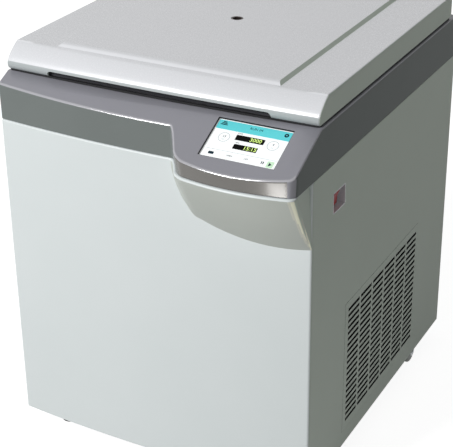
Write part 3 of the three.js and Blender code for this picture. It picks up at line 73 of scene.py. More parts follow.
def surface(name, base, shade, patchMm, grainMm, bumpMm, roughness, spread=0.06, metallic=0.0,
            stretch=(1, 1, 1), specular=0.5, coat=0.0, ior=1.5, coatRoughness=0.1, glow=0.0):
    # Two tones drift over patchMm, and a fine grain lifts the surface by bumpMm.
    material = bpy.data.materials.new(name)
    material.use_nodes = True
    tree = material.node_tree
    shader = tree.nodes["Principled BSDF"]
    place = addNode(tree, "ShaderNodeTexCoord")
    mapping = addNode(tree, "ShaderNodeMapping", {"Scale": stretch}, {"Vector": place.outputs["Object"]})
    patches = addNode(tree, "ShaderNodeTexNoise", {"Scale": 1 / (patchMm * mm), "Detail": 3.0},
                      {"Vector": mapping.outputs[0]})
    grain = addNode(tree, "ShaderNodeTexNoise", {"Scale": 1 / (grainMm * mm), "Detail": 4.0},
                    {"Vector": mapping.outputs[0]})
    tones = addNode(tree, "ShaderNodeMix", {"data_type": "RGBA", 6: toLinear(base), 7: toLinear(shade)},
                    {0: patches.outputs["Fac"]})
    tree.links.new(tones.outputs[2], shader.inputs["Base Color"])
    rough = addNode(tree, "ShaderNodeMapRange",
                    {"To Min": roughness - spread, "To Max": roughness + spread},
                    {"Value": grain.outputs["Fac"]})
    tree.links.new(rough.outputs[0], shader.inputs["Roughness"])
    bump = addNode(tree, "ShaderNodeBump", {"Strength": 1.0, "Distance": bumpMm * mm},
                   {"Height": grain.outputs["Fac"]})
    tree.links.new(bump.outputs[0], shader.inputs["Normal"])
    shader.inputs["Metallic"].default_value = metallic
    shader.inputs["Specular IOR Level"].default_value = specular
    if metallic < 0.5:
        shader.inputs["IOR"].default_value = ior
    shader.inputs["Coat Weight"].default_value = coat
    shader.inputs["Coat Roughness"].default_value = coatRoughness
    if glow:
        tree.links.new(tones.outputs[2], shader.inputs["Emission Color"])
        shader.inputs["Emission Strength"].default_value = glow
    return material


# materials, named for what each surface is made of

# spray-painted ABS: even pale grey with a faint orange peel, satin
coverPaint = surface("satin_paint_on_abs", "dbe1e1", "d6dddd", 180, 1.6, 0.010, 0.36)
# the swell under the lip: the same paint, made warmer and darker as painted shade under the lip
chinShadePaint = surface("chin_painted_shade_satin", "bcc1ba", "b7bcb4", 160, 1.6, 0.010, 0.38, specular=0.4)
# the swell's rounded right end: a pale warm metallic tone as a painted highlight, and a weaker painted
# highlight beside it
chinEndHighlight = surface("chin_end_painted_highlight", "dfdfc8", "d6d6bf", 60, 1.2, 0.006, 0.32, metallic=0.3)
chinEndSoftHighlight = surface("chin_end_soft_painted_highlight", "cccdbf", "c4c5b6", 60, 1.2, 0.008, 0.35, metallic=0.12)
# painted ABS lid: whiter, a little glossier, so its nose catches a bright line
lidPaint = surface("gloss_paint_on_abs", "dedfe3", "d8dadd", 220, 1.8, 0.005, 0.27, spread=0.03, coat=0.2)
# the bevel between the lid's plateau and its brow: the same paint, a little polished, and made whiter as a
# painted highlight
bevelHighlightPaint = surface("lid_bevel_polish_and_painted_highlight", "e7e8ec", "e1e3e6", 220, 1.8, 0.003, 0.24, spread=0.03, coat=0.2)
# the lid's lower edge: a greyer, darker paint as painted shade where the nose turns under
lidEdgeShade = surface("lid_edge_painted_shade", "b4babb", "adb3b4", 120, 1.2, 0.008, 0.45, specular=0.2)
# moulded grey ABS with a fine spark texture and a faint violet cast
fasciaAbs = surface("grey_textured_abs", "8f8f97", "89898f", 140, 0.9, 0.014, 0.40)
# the fascia's upright skirt: the same ABS with a coarser grain, made darker and greener than the slope as
# painted shade
skirtShadeAbs = surface("coarse_abs_painted_shade", "7b817f", "757b79", 120, 1.1, 0.016, 0.5, specular=0.06)
# the edge between slope and skirt, buffed smooth under a clear coat so that a lamp draws a thin bright line
# along it, and made lighter as a painted highlight
buffedHighlightEdge = surface("buffed_abs_edge_painted_highlight", "a4a4aa", "9e9ea4", 140, 0.9, 0.001, 0.16, spread=0.02, specular=0.8,
                     coat=1.0, coatRoughness=0.08)
# dark metallic lacquer on the face of the lip: brown-grey, so a lamp leaves a bright patch on it
lipLacquer = surface("dark_metallic_lacquer", "6a6763", "62605c", 60, 0.6, 0.003, 0.24, metallic=0.35,
                     coat=0.4)
# powder-coated sheet steel: pale grey, fine pebbled grain, low sheen; laid on the lid's ends too, where its
# darker, greener tone is painted shade
panelPowder = surface("powder_coated_sheet", "ccd7cb", "c6d1c5", 200, 1.1, 0.016, 0.55, specular=0.3)
# black painted sheet and bar, inside and underneath
framePaint = surface("dark_enamel_on_steel", "3d4044", "35383b", 90, 1.4, 0.02, 0.5)
# matt black glass-filled nylon
blackNylon = surface("black_nylon", "232325", "1c1c1e", 40, 0.8, 0.02, 0.5)
# translucent red polycarbonate, seen as solid red
redRocker = surface("red_polycarbonate", "c01c1e", "ac1618", 12, 0.6, 0.006, 0.3)
# zinc-plated steel, slightly mottled
zincSteel = surface("zinc_plated_steel", "a3a6a8", "8c9093", 14, 0.7, 0.006, 0.34, metallic=1.0)
# hard-chromed rod, nearly a mirror
chromeRod = surface("hard_chrome", "d0d2d4", "c8cacc", 30, 0.5, 0.001, 0.08, spread=0.03, metallic=1.0)
# brushed stainless steel: fine rings of brushing, drawn coarser than real so that they show
bowlSteel = surface("brushed_stainless", "c3c5c8", "b2b5b8", 60, 1.2, 0.010, 0.27, metallic=1.0,
                    stretch=(1, 1, 12))
# stainless sheet with long straight brushing
linerSteel = surface("brushed_stainless_sheet", "c9cbce", "babdc0", 70, 1.2, 0.008, 0.3, metallic=1.0,
                     stretch=(0.08, 1, 1))
# rolled carbon steel plate, dull grey with mill scale
barrelSteel = surface("mill_scale_steel", "5b5e62", "4a4d50", 45, 1.5, 0.02, 0.5, metallic=0.8)
# black EPDM rubber, matt with a dusty bloom; also the black of the pieces laid as painted shade behind the
# finger notch, under the lid's skirt and round the screen
blackRubberAndShade = surface("black_rubber", "262628", "1d1d1f", 25, 0.9, 0.03, 0.78, specular=0.3)
# a dull grey, laid as painted shade along the foot of the finger notch
notchShadeGrey = surface("grey_painted_notch_shade", "454549", "3d3d41", 18, 0.9, 0.02, 0.8, specular=0.1)
# grey polyurethane tyre
greyTyre = surface("grey_polyurethane", "a9ada8", "9da19c", 20, 0.8, 0.02, 0.55)
# drawn copper pipe with darker flow marks
copperPipe = surface("drawn_copper", "c27c4e", "a5643c", 25, 0.9, 0.006, 0.3, metallic=1.0)
# rigid polyurethane foam, open and yellowish
foamBlock = surface("polyurethane_foam", "e5dcc0", "d8cda8", 20, 2.2, 0.25, 0.9, specular=0.2)
# sand-cast and machined aluminium
castAlloy = surface("cast_aluminium", "a2a6ab", "93979c", 30, 0.9, 0.015, 0.42, metallic=0.9)
# clear-anodised aluminium, fine and even
bucketAlloy = surface("anodised_aluminium", "b6babf", "aab0b6", 50, 0.7, 0.006, 0.35, metallic=0.9)
# gloss black enamel on pressed steel
blackEnamel = surface("black_enamel", "232427", "1b1c1e", 40, 1.6, 0.012, 0.3)
# matt black coating on the condenser's fins and tubes, seen through the vent's slots; laid on the slot walls
# and the vent panel's edges as painted shade
finCoatingAndSlotShade = surface("black_fin_coating_and_slot_shade", "161617", "0f0f10", 30, 0.9, 0.01, 0.7, specular=0.2)
# green glass-fibre board
circuitBoard = surface("fibreglass_board", "2f6b3a", "285d33", 10, 0.8, 0.01, 0.45)
# dark toughened glass behind the sight port
portGlass = surface("dark_glass", "30363a", "272c30", 10, 0.6, 0.001, 0.08, spread=0.02, ior=1.52)
# brown-black anodised ring round the sight port
portRing = surface("bronze_anodised_ring", "4a403c", "3a3230", 8, 0.5, 0.004, 0.35, metallic=0.6)
# glass of the display, switched on: a cold white field with a weak glow of its own
displayField = surface("display_glass", "f6f9f9", "f1f5f5", 60, 0.5, 0.001, 0.2, spread=0.02, ior=1.52,
                       glow=0.25)
# lit marks on the display: cyan, ink, black readout ground, lime digits, grey lines and a mint key
displayInks = {
    kind: surface("display_" + kind, base, shade, patch, 0.5, 0.001, rough, specular=gleam, glow=glow)
    for kind, base, shade, patch, rough, gleam, glow in (
        ("cyan", "5fd6dc", "56cdd4", 40, 0.3, 0.5, 0.12), ("ink", "17313d", "142a35", 12, 0.5, 0.1, 0.0),
        ("line", "b4bcc0", "a8b2b8", 12, 0.35, 0.5, 0.0), ("black", "0a0b0a", "080908", 12, 0.6, 0.05, 0.0),
        ("lime", "d8f48c", "ccec7c", 12, 0.4, 0.5, 0.7), ("mint", "cfeecf", "c2e6c4", 12, 0.35, 0.5, 0.15))
}

finishOf = {
    "painted_frame": framePaint, "white_moulding": lidPaint, "cover_moulding": coverPaint,
    "fascia_moulding": fasciaAbs, "panel_paint": panelPowder, "vent_paint": panelPowder,
    "screen_face": displayField, "circuit_board": circuitBoard, "black_moulding": blackNylon,
    "red_moulding": redRocker, "zinc_steel": zincSteel, "chrome_rod": chromeRod, "bowl_steel": bowlSteel,
    "liner_steel": linerSteel, "barrel_steel": barrelSteel, "black_rubber": blackRubberAndShade,
    "grey_tyre": greyTyre, "copper_pipe": copperPipe, "foam": foamBlock, "cast_alloy": castAlloy,
    "bucket_alloy": bucketAlloy, "black_paint": blackEnamel, "port_glass": portGlass,
}
print("materials made:", len(bpy.data.materials))


# how pieces are made and put in place

def linked(name, data):
    item = bpy.data.objects.new(name, data)
    bpy.context.scene.collection.objects.link(item)
    return item


def bakedMesh(item):
    return bpy.data.meshes.new_from_object(item.evaluated_get(bpy.context.evaluated_depsgraph_get()))


def putPiece(name, mesh, body, materials, replaced=()):
    mesh.name = name
    piece = linked(name, mesh)
    mesh.materials.clear()
    for material in materials:
        mesh.materials.append(material)
    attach(piece, body)
    if replaced:
        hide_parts(*replaced)
    return piece


def roundOff(piece, widthMm, segments=2, angle=35):
    bevel = piece.modifiers.new("Bevel", "BEVEL")
    bevel.width = widthMm * mm
    bevel.segments = segments
    bevel.limit_method = "ANGLE"
    bevel.angle_limit = math.radians(angle)
    normals = piece.modifiers.new("Normals", "WEIGHTED_NORMAL")
    normals.keep_sharp = True


def putRounded(name, mesh, node, material, widthMm, segments=2):
    # A small black or grey piece that rides with a CAD node.
    mesh.shade_smooth()
    roundOff(putPiece(name, mesh, bodyOf[node], [material]), widthMm, segments)


def putFor(node, mesh, widthMm, segments=2, angle=35, extra=(), materials=None):
    # A piece that stands for a CAD node.
    mesh.shade_smooth()
    slotName = slotOf[node]
    finish = materials or [finishOf[slotName], *extra]
    piece = putPiece(node + "_piece", mesh, bodyOf[node], finish, [node])
    roundOff(piece, widthMm, segments, angle)
    return piece


def softened(node, widthMm, materials=None):
    # A merged copy of a CAD node with its edges rounded a little, which stands for the node.
    merge, flat = 0.01 * mm, math.radians(0.6)
    bm = bmesh.new()
    bm.from_mesh(frame["nodes"][node].data)
    bmesh.ops.remove_doubles(bm, verts=bm.verts, dist=merge)
    bmesh.ops.dissolve_limit(bm, angle_limit=flat, verts=bm.verts, edges=bm.edges)
    mesh = bpy.data.meshes.new(node)
    bm.to_mesh(mesh)
    bm.free()
    putFor(node, mesh, widthMm, materials=materials)


def plainMesh(name, points, faces):
    # A mesh with its faces turned outwards and its doubled points merged.
    merge = 0.002 * mm
    mesh = bpy.data.meshes.new(name)
    mesh.from_pydata([tuple(p) for p in points], [], faces)
    bm = bmesh.new()
    bm.from_mesh(mesh)
    bmesh.ops.remove_doubles(bm, verts=bm.verts, dist=merge)
    bmesh.ops.dissolve_degenerate(bm, edges=bm.edges, dist=merge)
    bmesh.ops.recalc_face_normals(bm, faces=bm.faces)
    bm.to_mesh(mesh)
    bm.free()
    return mesh


def skin(rings):
    # Points and side faces over rings with equal counts of points.
    count = len(rings[0])
    starts = range(0, count * (len(rings) - 1), count)
    sides = [(first + i, first + (i + 1) % count) for first in starts for i in range(count)]
    return [p for ring in rings for p in ring], [(a, b, b + count, a + count) for a, b in sides]


def loft(name, rings, caps=True):
    count = len(rings[0])
    points, faces = skin(rings)
    if caps:
        faces += [tuple(range(count)), tuple(range(len(points) - count, len(points)))]
    return plainMesh(name, points, faces)


def loftAcross(name, layers, closed=False):
    # A skin over outlines at their heights, lofted along the outline instead of upwards.
    rings = [[(line[i][0], line[i][1], z) for line, z in layers] for i in range(len(layers[0][0]))]
    return loft(name, rings + rings[:1] if closed else rings, caps=not closed)


def prism(name, outline, low, high):
    return loft(name, [[(x, y, z) for x, y in outline] for z in (low, high)])


def block(name, low, high):
    outline = [(low[0], low[1]), (high[0], low[1]), (high[0], high[1]), (low[0], high[1])]
    return prism(name, outline, low[2], high[2])


def gathered(name, meshes):
    # Several meshes side by side in one.
    bm = bmesh.new()
    for mesh in meshes:
        bm.from_mesh(mesh)
        bpy.data.meshes.remove(mesh)
    whole = bpy.data.meshes.new(name)
    bm.to_mesh(whole)
    bm.free()
    return whole


def carved(base, tool, operation="DIFFERENCE"):
    items = [linked("carve_base", base), linked("carve_tool", tool)]
    step = items[0].modifiers.new("Carve", "BOOLEAN")
    step.operation = operation
    step.solver = "EXACT"
    step.object = items[1]
    result = bakedMesh(items[0])
    for item in items:
        bpy.data.objects.remove(item)
    return result


def bend(start, corner, end, steps):
    # Points of a curve that leaves start towards corner and reaches end.
    return [tuple((1 - t) ** 2 * a + 2 * t * (1 - t) * b + t * t * c for a, b, c in zip(start, corner, end))
            for t in (i / steps for i in range(steps + 1))]


def arc(x, y, radius, fromTurn, toTurn, steps):
    return [(x + radius * math.cos(2 * math.pi * t), y + radius * math.sin(2 * math.pi * t))
            for t in (fromTurn + (toTurn - fromTurn) * i / steps for i in range(steps + 1))]


def disc(x, y, radius, sides):
    return arc(x, y, radius, 0, (sides - 1) / sides, sides - 1)


def roundedRect(x0, x1, y0, y1, radius, steps=5):
    left, right, low, high = x0 + radius, x1 - radius, y0 + radius, y1 - radius
    return [*arc(right, low, radius, -0.25, 0, steps), *arc(right, high, radius, 0, 0.25, steps),
            *arc(left, high, radius, 0.25, 0.5, steps), *arc(left, low, radius, 0.5, 0.75, steps)]


def leftOf(line, i):
    # A unit step to the left of a line at its point i.
    px, py = line[max(i - 1, 0)]
    nx, ny = line[min(i + 1, len(line) - 1)]
    length = math.hypot(nx - px, ny - py)
    return -(ny - py) / length, (nx - px) / length


def insetBy(outline, depths):
    # Moves each point of a counter-clockwise outline inwards by its own depth.
    moved = []
    for i, (x, y) in enumerate(outline):
        px, py = outline[i - 1]
        nx, ny = outline[(i + 1) % len(outline)]
        before, after = math.hypot(x - px, y - py), math.hypot(nx - x, ny - y)
        ax, ay = -(y - py) / before, (x - px) / before
        bx, by = -(ny - y) / after, (nx - x) / after
        reach = depths[i] / (1 + ax * bx + ay * by)
        moved.append((x + (ax + bx) * reach, y + (ay + by) * reach))
    return moved


def smoothStep(value, low, high):
    t = min(max((value - low) / (high - low), 0), 1)
    return t * t * (3 - 2 * t)


# lines of the cabinet, read off the frame and shared by the mouldings

coverLow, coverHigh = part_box("front_cover")
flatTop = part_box("top_fascia")[1].z
lidLow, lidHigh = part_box("lid_shell")
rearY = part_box("rear_panel")[1].y
cabinet = {"depth": 780 * mm, "bow": 19 * mm, "corner": 5.5 * mm, "slopeSetback": 36.5 * mm,
           "slopeRun": 136.5 * mm, "slopeDrop": 65.5 * mm}
halfWidth = coverHigh.x
panelTop = coverHigh.z
frontY = rearY - cabinet["depth"]
slopeTopY = frontY + cabinet["slopeSetback"]
slopeRise = cabinet["slopeDrop"] / cabinet["slopeRun"]
slopeTurn = math.atan(slopeRise)

lip = {"flankStart": 59 * mm, "flankEnd": 91 * mm, "flankReach": 64 * mm, "kink": 100 * mm, "start": 120 * mm,
       "apex": 220 * mm, "half": 120 * mm, "sag": 16 * mm, "corner": 13 * mm, "cornerDepth": 17 * mm,
       "reach": 100 * mm, "wall": 3 * mm}
chin = {"drop": 145.6 * mm, "lowX": 275 * mm, "half": 155 * mm, "rise": 30 * mm, "kinkDrop": 103 * mm,
        "bulge": 2.4 * mm, "roll": 4.2 * mm, "flange": 8 * mm, "seam": 0.1 * mm, "tuck": 0.5 * mm,
        "back": 4 * mm}


def bowAt(x):
    return frontY - cabinet["bow"] * (1 - (x / halfWidth) ** 2)


def slopeAt(y):
    return flatTop + min(y - slopeTopY, 0) * slopeRise


def lipAt(x):
    return frontY - lip["reach"] + lip["sag"] * ((x - lip["apex"]) / lip["half"]) ** 2


def chinAt(x):
    return panelTop - chin["drop"] + chin["rise"] * ((x - chin["lowX"]) / chin["half"]) ** 2


def lipLines():
    # The lip's outline seen from above and, station by station, the chin's lower edge seen from the front.
    flankSteps, kinkSteps, runSteps, cornerSteps = 14, 12, 30, 9
    end = halfWidth
    endX = end - lip["corner"]
    foot, start, kink = lip["flankStart"], lip["start"], lip["kink"]
    kinkLow = (kink, panelTop - chin["kinkDrop"])
    places = [start + (endX - start) * (i + 1) / runSteps for i in range(runSteps)]
    above = bend((foot, bowAt(foot)), (foot + cabinet["corner"], bowAt(foot)),
                 (lip["flankEnd"], frontY - lip["flankReach"]), flankSteps)
    above += bend(above[-1], (kink, lipAt(kink) + lip["wall"]), (start, lipAt(start)), kinkSteps)[1:]
    above += [(x, lipAt(x)) for x in places]
    above += bend((endX, lipAt(endX)), (end, lipAt(end)), (end, lipAt(end) + lip["cornerDepth"]),
                  cornerSteps)[1:]
    below = bend((foot, panelTop), (foot, (panelTop + kinkLow[1]) / 2), kinkLow, flankSteps)
    below += bend(kinkLow, (kink + cabinet["corner"], chinAt(start) + lip["wall"]), (start, chinAt(start)),
                  kinkSteps)[1:]
    below += [(x, chinAt(x)) for x in places]
    below += bend((endX, chinAt(endX)), (end, chinAt(end)), (end, chinAt(end)), cornerSteps)[1:]
    return above, below


lipLine, chinLine = lipLines()


# front cover: a bowed sheet with rolled edges, and the chin that swells out of it under the lip

def makeCover():
    sheet = {"roll": 4.2 * mm, "rollSteps": 6, "foot": 2 * mm, "flange": 5 * mm, "rows": 6, "back": 5 * mm,
             "bowSteps": 72, "cornerSteps": 6}
    low, top, side = coverLow.z, panelTop, halfWidth - cabinet["corner"]
    ease = sheet["foot"] * 0.3
    section = [(sheet["flange"], low), (ease, low + ease), (0, low + sheet["foot"])]
    section += [(0, low + (top - sheet["roll"] - low) * i / sheet["rows"]) for i in range(1, sheet["rows"])]
    section += [(sheet["roll"] * (1 - math.cos(t)), top + sheet["roll"] * (math.sin(t) - 1))
                for t in (math.pi / 2 * i / sheet["rollSteps"] for i in range(sheet["rollSteps"] + 1))]
    section += [(sheet["flange"], top)]

    def path(depth):
        centreY = bowAt(side) + cabinet["corner"]
        radius = cabinet["corner"] - depth
        xs = [side + (-2 * side) * i / sheet["bowSteps"] for i in range(1, sheet["bowSteps"])]
        return [(halfWidth - depth, frontY + sheet["back"]),
                *arc(side, centreY, radius, 0, -0.25, sheet["cornerSteps"]),
                *[(x, bowAt(x) + depth) for x in xs],
                *arc(-side, centreY, radius, 0.75, 0.5, sheet["cornerSteps"]),
                (-halfWidth + depth, frontY + sheet["back"])]

    return loftAcross("cover_sheet", [(path(depth), z) for depth, z in section])


def makeChin():
    rows, rollSteps = 14, 6
    roll, flange = chin["roll"], chin["flange"]
    rings = []
    for i, (x, y) in enumerate(lipLine):
        last = i + 1 == len(lipLine)
        inX, inY = (-1, 0) if last else leftOf(lipLine, i)
        lowX, lowZ = chinLine[i]
        lowY = bowAt(lowX)
        drop = max(panelTop - lowZ, mm / 100)
        fade = min(drop / (6 * roll), 1)
        ring = [(x + inX * flange, y + inY * flange, panelTop - chin["seam"])]
        for step in range(rollSteps + 1):
            t = math.pi / 2 * (1 - step / rollSteps)
            into, z = roll * fade * (1 - math.cos(t)), panelTop + roll * fade * (math.sin(t) - 1)
            ring.append((x + inX * into, y + inY * into, z))
        topZ = panelTop - roll * fade
        for row in range(1, rows + 1):
            t = row / rows
            out = chin["bulge"] * 4 * t * (1 - t) * fade * (1 if abs(inX) < 0.9 else 0)
            ring.append((x + (lowX - x) * t, y + (lowY - y) * t - out, topZ + (lowZ - topZ) * t))
        inside = lowX - (0 if last else chin["tuck"])
        ring.append((inside, max(lowY, frontY) + chin["back"], lowZ + chin["tuck"]))
        ring.append((x + inX * flange, frontY + chin["back"], panelTop - chin["seam"]))
        rings.append(ring)
    return loft("chin_swell", rings)


coverMesh = gathered("front_cover", [makeCover(), makeChin()])
coverPiece = putFor("front_cover", coverMesh, 0.4, segments=1, angle=50,
                    extra=[panelPowder, chinShadePaint, chinEndHighlight, chinEndSoftHighlight])
aside = {"panel": 0.9, "end": 0.25, "highlightFrom": 0.42, "highlightTo": 0.82}
# Faces facing right take the side panels' paint. The chin takes its darker paint as painted shade, and the
# chin's rounded right end takes a pale warm painted highlight that is weaker at its sides.
for face in coverPiece.data.polygons:
    centre, right = face.center, face.normal.x
    if right > aside["panel"]:
        face.material_index = 1
    elif centre.y < bowAt(centre.x) - mm and centre.z < panelTop - chin["roll"]:
        atEnd = centre.x > halfWidth - lip["corner"] and right > aside["end"]
        face.material_index = (3 if aside["highlightFrom"] < right < aside["highlightTo"] else 4) if atEnd else 2
print("front cover made")


# fascia: sloped shell round the lid, with the lip that overhangs the chin

fascia = {"wall": 4 * mm, "fillet": 3.6 * mm, "flatFillet": 2.2 * mm, "filletSteps": 7, "edge": 0.8 * mm,
          "lean": 2 * mm, "lipLean": 4.6 * mm, "sideRoom": 88 * mm, "frontRoom": 78 * mm, "rearRoom": 44 * mm,
          "openingCorner": 20 * mm, "openingSteps": 8, "rim": 4 * mm, "rimDepth": 16 * mm, "seam": 0.3 * mm,
          "bowSteps": 40, "cornerSteps": 7, "over": 6 * mm, "openingDeep": 30 * mm, "slotDeep": 12 * mm}
window = {"inset": 126.5 * mm, "setback": 23 * mm, "width": 157 * mm, "height": 97.6 * mm, "depth": 4.3 * mm}
spring = {"inset": 60 * mm, "half": 11 * mm, "corner": 4.5 * mm, "frontRoom": 11 * mm, "rearRoom": 10 * mm}
striker = {"inset": 150 * mm, "setback": 61 * mm, "halfAcross": 6 * mm, "front": 11 * mm, "back": 9 * mm}


def makeFascia():
    bottom = panelTop + fascia["seam"]
    side = halfWidth - cabinet["corner"]
    cornerY = bowAt(side) + cabinet["corner"]
    foot = lip["flankStart"]
    outline = [(halfWidth, rearY), (-halfWidth, rearY), (-halfWidth, slopeTopY),
               *arc(-side, cornerY, cabinet["corner"], 0.5, 0.75, fascia["cornerSteps"])]
    outline += [(x, bowAt(x)) for x in (-side + (foot + side) * i / fascia["bowSteps"]
                                        for i in range(1, fascia["bowSteps"]))]
    outline += [*lipLine, (halfWidth, slopeTopY)]
    leans, fillets = [], []
    for x, y in outline:
        front = smoothStep(-y, -cornerY, -bowAt(side)) if abs(x) > side else 1.0
        lean = fascia["lean"] + (fascia["lipLean"] - fascia["lean"]) * smoothStep(x, foot, lip["kink"])
        if x > side and y > lipAt(halfWidth):
            front = 1 - smoothStep(y, lipAt(halfWidth), lipAt(halfWidth) + lip["cornerDepth"])
        leans.append(lean * (front if y < slopeTopY else 0))
        fillets.append(fascia["fillet"] if y <= slopeTopY + mm else fascia["flatFillet"])

    def ring(depths, height):
        return [(x, y, height(i, y)) for i, (x, y) in enumerate(insetBy(outline, depths))]

    thick = fascia["wall"] / math.cos(slopeTurn)
    rings = [ring([fascia["wall"]] * len(outline), lambda i, y: slopeAt(y) - thick)]
    rings.append(ring([fascia["wall"] + lean for lean in leans], lambda i, y: bottom))
    rings.append(ring([lean + fascia["edge"] for lean in leans], lambda i, y: bottom))
    rings.append(ring(leans, lambda i, y: bottom + fascia["edge"]))
    for step in range(fascia["filletSteps"] + 1):
        t = math.pi / 2 * step / fascia["filletSteps"]
        depths = [fillet * (1 - math.cos(t)) for fillet in fillets]
        rings.append(ring(depths, lambda i, y: slopeAt(y) - fillets[i] * (1 - math.sin(t))))
    count = len(outline)
    points, faces = skin(rings)
    for first in (0, len(points) - count):
        faces.append(tuple(first + i for i in range(2, count)))
        faces.append((first + count - 1, first, first + 1, first + 2))
    return plainMesh("fascia_shell", points, faces)


def onSlope(mesh, lift=0.0):
    # Lays a mesh made flat at the origin on the slope, at the middle of the screen.
    y = frontY - window["setback"]
    mesh.transform(Matrix.Translation((halfWidth - window["inset"], y, slopeAt(y)))
                   @ Matrix.Rotation(slopeTurn, 4, "X") @ Matrix.Translation((0, 0, lift)))
    return mesh


openingX, openingFront = halfWidth - fascia["sideRoom"], frontY + fascia["frontRoom"]
openingRear = rearY - fascia["rearRoom"]
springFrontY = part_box("gas_rod_left")[0].y - spring["frontRoom"]
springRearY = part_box("gas_cylinder_left")[1].y - spring["rearRoom"]


def openingLine(wall=0):
    return roundedRect(-openingX - wall, openingX + wall, openingFront - wall, openingRear + wall,
                       fascia["openingCorner"] + wall, fascia["openingSteps"])


def fasciaCuts():
    over, slotLow = fascia["over"], flatTop - fascia["slotDeep"]
    cuts = [prism("opening", openingLine(), flatTop - fascia["openingDeep"], flatTop + over)]
    cuts.append(onSlope(block("window", (-window["width"] / 2, -window["height"] / 2, -fascia["wall"] - over),
                              (window["width"] / 2, window["height"] / 2, over))))
    for side in (-1, 1):
        x = side * (halfWidth - spring["inset"])
        slot = roundedRect(x - spring["half"], x + spring["half"], springFrontY, springRearY,
                           spring["corner"])
        cuts.append(prism("spring_slot", slot, slotLow, flatTop + over))
        x = side * (halfWidth - striker["inset"])
        y = frontY + striker["setback"]
        cuts.append(block("striker_slot", (x - striker["halfAcross"], y - striker["front"], slotLow),
                          (x + striker["halfAcross"], y + striker["back"], flatTop + over)))
    return gathered("fascia_cuts", cuts)


def makeRim():
    low, top = flatTop - fascia["rimDepth"], flatTop - fascia["rim"] / 2
    outer, inner = openingLine(fascia["rim"]), openingLine()
    return loftAcross("opening_rim", [(outer, low), (outer, top), (inner, top), (inner, low)], closed=True)


fasciaMesh = gathered("top_fascia", [carved(makeFascia(), fasciaCuts()), makeRim()])
fasciaPiece = putFor("top_fascia", fasciaMesh, 0.5, angle=40, extra=[lipLacquer, skirtShadeAbs, buffedHighlightEdge])
skirt = {"upright": 0.3, "front": -0.6, "corner": -0.35, "edgeFront": -0.44, "edgeTop": 0.89,
         "seam": 0.6 * mm, "beside": 9 * mm, "lipDeep": 50 * mm, "edgeLow": 5 * mm}
lipBack, cornerX = frontY - skirt["lipDeep"], halfWidth - lip["corner"]
# Upright outer faces take the darker skirt ABS as painted shade. The lip's face takes the dark lacquer and
# the lip's corner the plain ABS. The slanted edge takes the lighter buffed edge as a painted highlight.
for face in fasciaPiece.data.polygons:
    centre, facing = face.center, face.normal
    steep = abs(facing.z) < skirt["upright"]
    outside = centre.z > panelTop + skirt["seam"] and abs(centre.x) > openingX + skirt["beside"]
    if steep and outside or facing.y < skirt["front"]:
        onLip = lip["kink"] < centre.x < cornerX and centre.y < lipBack
        onCorner = centre.x >= cornerX and centre.y < lipBack and facing.y < skirt["corner"]
        face.material_index = 0 if not steep or onCorner else 1 if onLip else 2
    slanted = facing.y < skirt["edgeFront"] and skirt["upright"] <= facing.z < skirt["edgeTop"]
    if slanted and centre.z > panelTop + skirt["edgeLow"]:
        face.material_index = 3
print("fascia made")


# lid: a bowed shell whose slanted brow rolls over a nose into a lower band, with a raised plateau

lid = {"frontSetback": 34.6 * mm, "bow": 6 * mm, "wall": 4 * mm, "bandReach": 3.2 * mm, "bandTop": 18.6 * mm,
       "browBack": 13.6 * mm, "browTop": 38.3 * mm, "browSteps": 14, "stripBack": 36.4 * mm,
       "bandHeight": 50.4 * mm, "rootBack": 31 * mm, "plateauBack": 46.4 * mm, "footMargin": 102 * mm,
       "topMargin": 109 * mm, "plateauRound": 7 * mm, "notchHeight": 12 * mm, "notchCorner": 8 * mm,
       "endRound": 5 * mm, "noseFrom": 6, "noseOut": 1.2 * mm, "noseLow": 8.5 * mm, "noseSteps": 10,
       "curlCorner": 2.2 * mm, "curlIn": 3 * mm, "curlSteps": 8, "shadeTop": 17.5 * mm,
       "portRadius": 13.3 * mm, "halfSteps": 24, "over": 6 * mm}
lidFrontY = frontY + lid["frontSetback"]
stripTop = lidLow.z + lid["bandHeight"]
chamberY = sum(v.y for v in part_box("chamber_bowl")) / 2


def lidBody(name, wall, bottom):
    half, reach = lidHigh.x, lid["bandReach"]
    crease = (lidFrontY - reach, lidLow.z + lid["bandTop"])
    brow = bend((lidFrontY + lid["stripBack"], stripTop),
                (lidFrontY + lid["browBack"], lidLow.z + lid["browTop"]), crease, lid["browSteps"])
    nose = bend(brow[-lid["noseFrom"]], (crease[0] - lid["noseOut"], crease[1] + lid["noseOut"] / 2),
                (lidFrontY - reach * 0.95, lidLow.z + lid["noseLow"]), lid["noseSteps"])
    curl = bend(nose[-1], (lidFrontY - reach * 0.5, lidLow.z + lid["curlCorner"]),
                (lidFrontY + lid["curlIn"], lidLow.z), lid["curlSteps"])
    front = [*brow[:-lid["noseFrom"]], *nose, *curl[1:]]
    rings = []
    for i in range(2 * lid["halfSteps"] + 1):
        x = (half - wall) * (i / lid["halfSteps"] - 1)
        bow = lid["bow"] * (1 - (x / half) ** 2)
        line = [(x, y - (bow if place else 0) + (wall if place else 0),
                 bottom if z == lidLow.z else min(z, stripTop - wall)) for place, (y, z) in enumerate(front)]
        rings.append([*line, (x, lidHigh.y - wall, bottom), (x, lidHigh.y - wall, stripTop - wall)])
    return loft(name, rings)


def roundChosen(mesh, width, segments, chosen):
    # Rounds the sharp edges that chosen picks by their two ends.
    bm = bmesh.new()
    bm.from_mesh(mesh)
    sharp = math.radians(20)
    edges = [edge for edge in bm.edges if len(edge.link_faces) == 2 and edge.calc_face_angle(0) > sharp
             and chosen(edge.verts[0].co, edge.verts[1].co)]
    bmesh.ops.bevel(bm, geom=edges, offset=width, segments=segments, affect="EDGES", profile=0.5,
                    clamp_overlap=True)
    bm.to_mesh(mesh)
    bm.free()
    return mesh


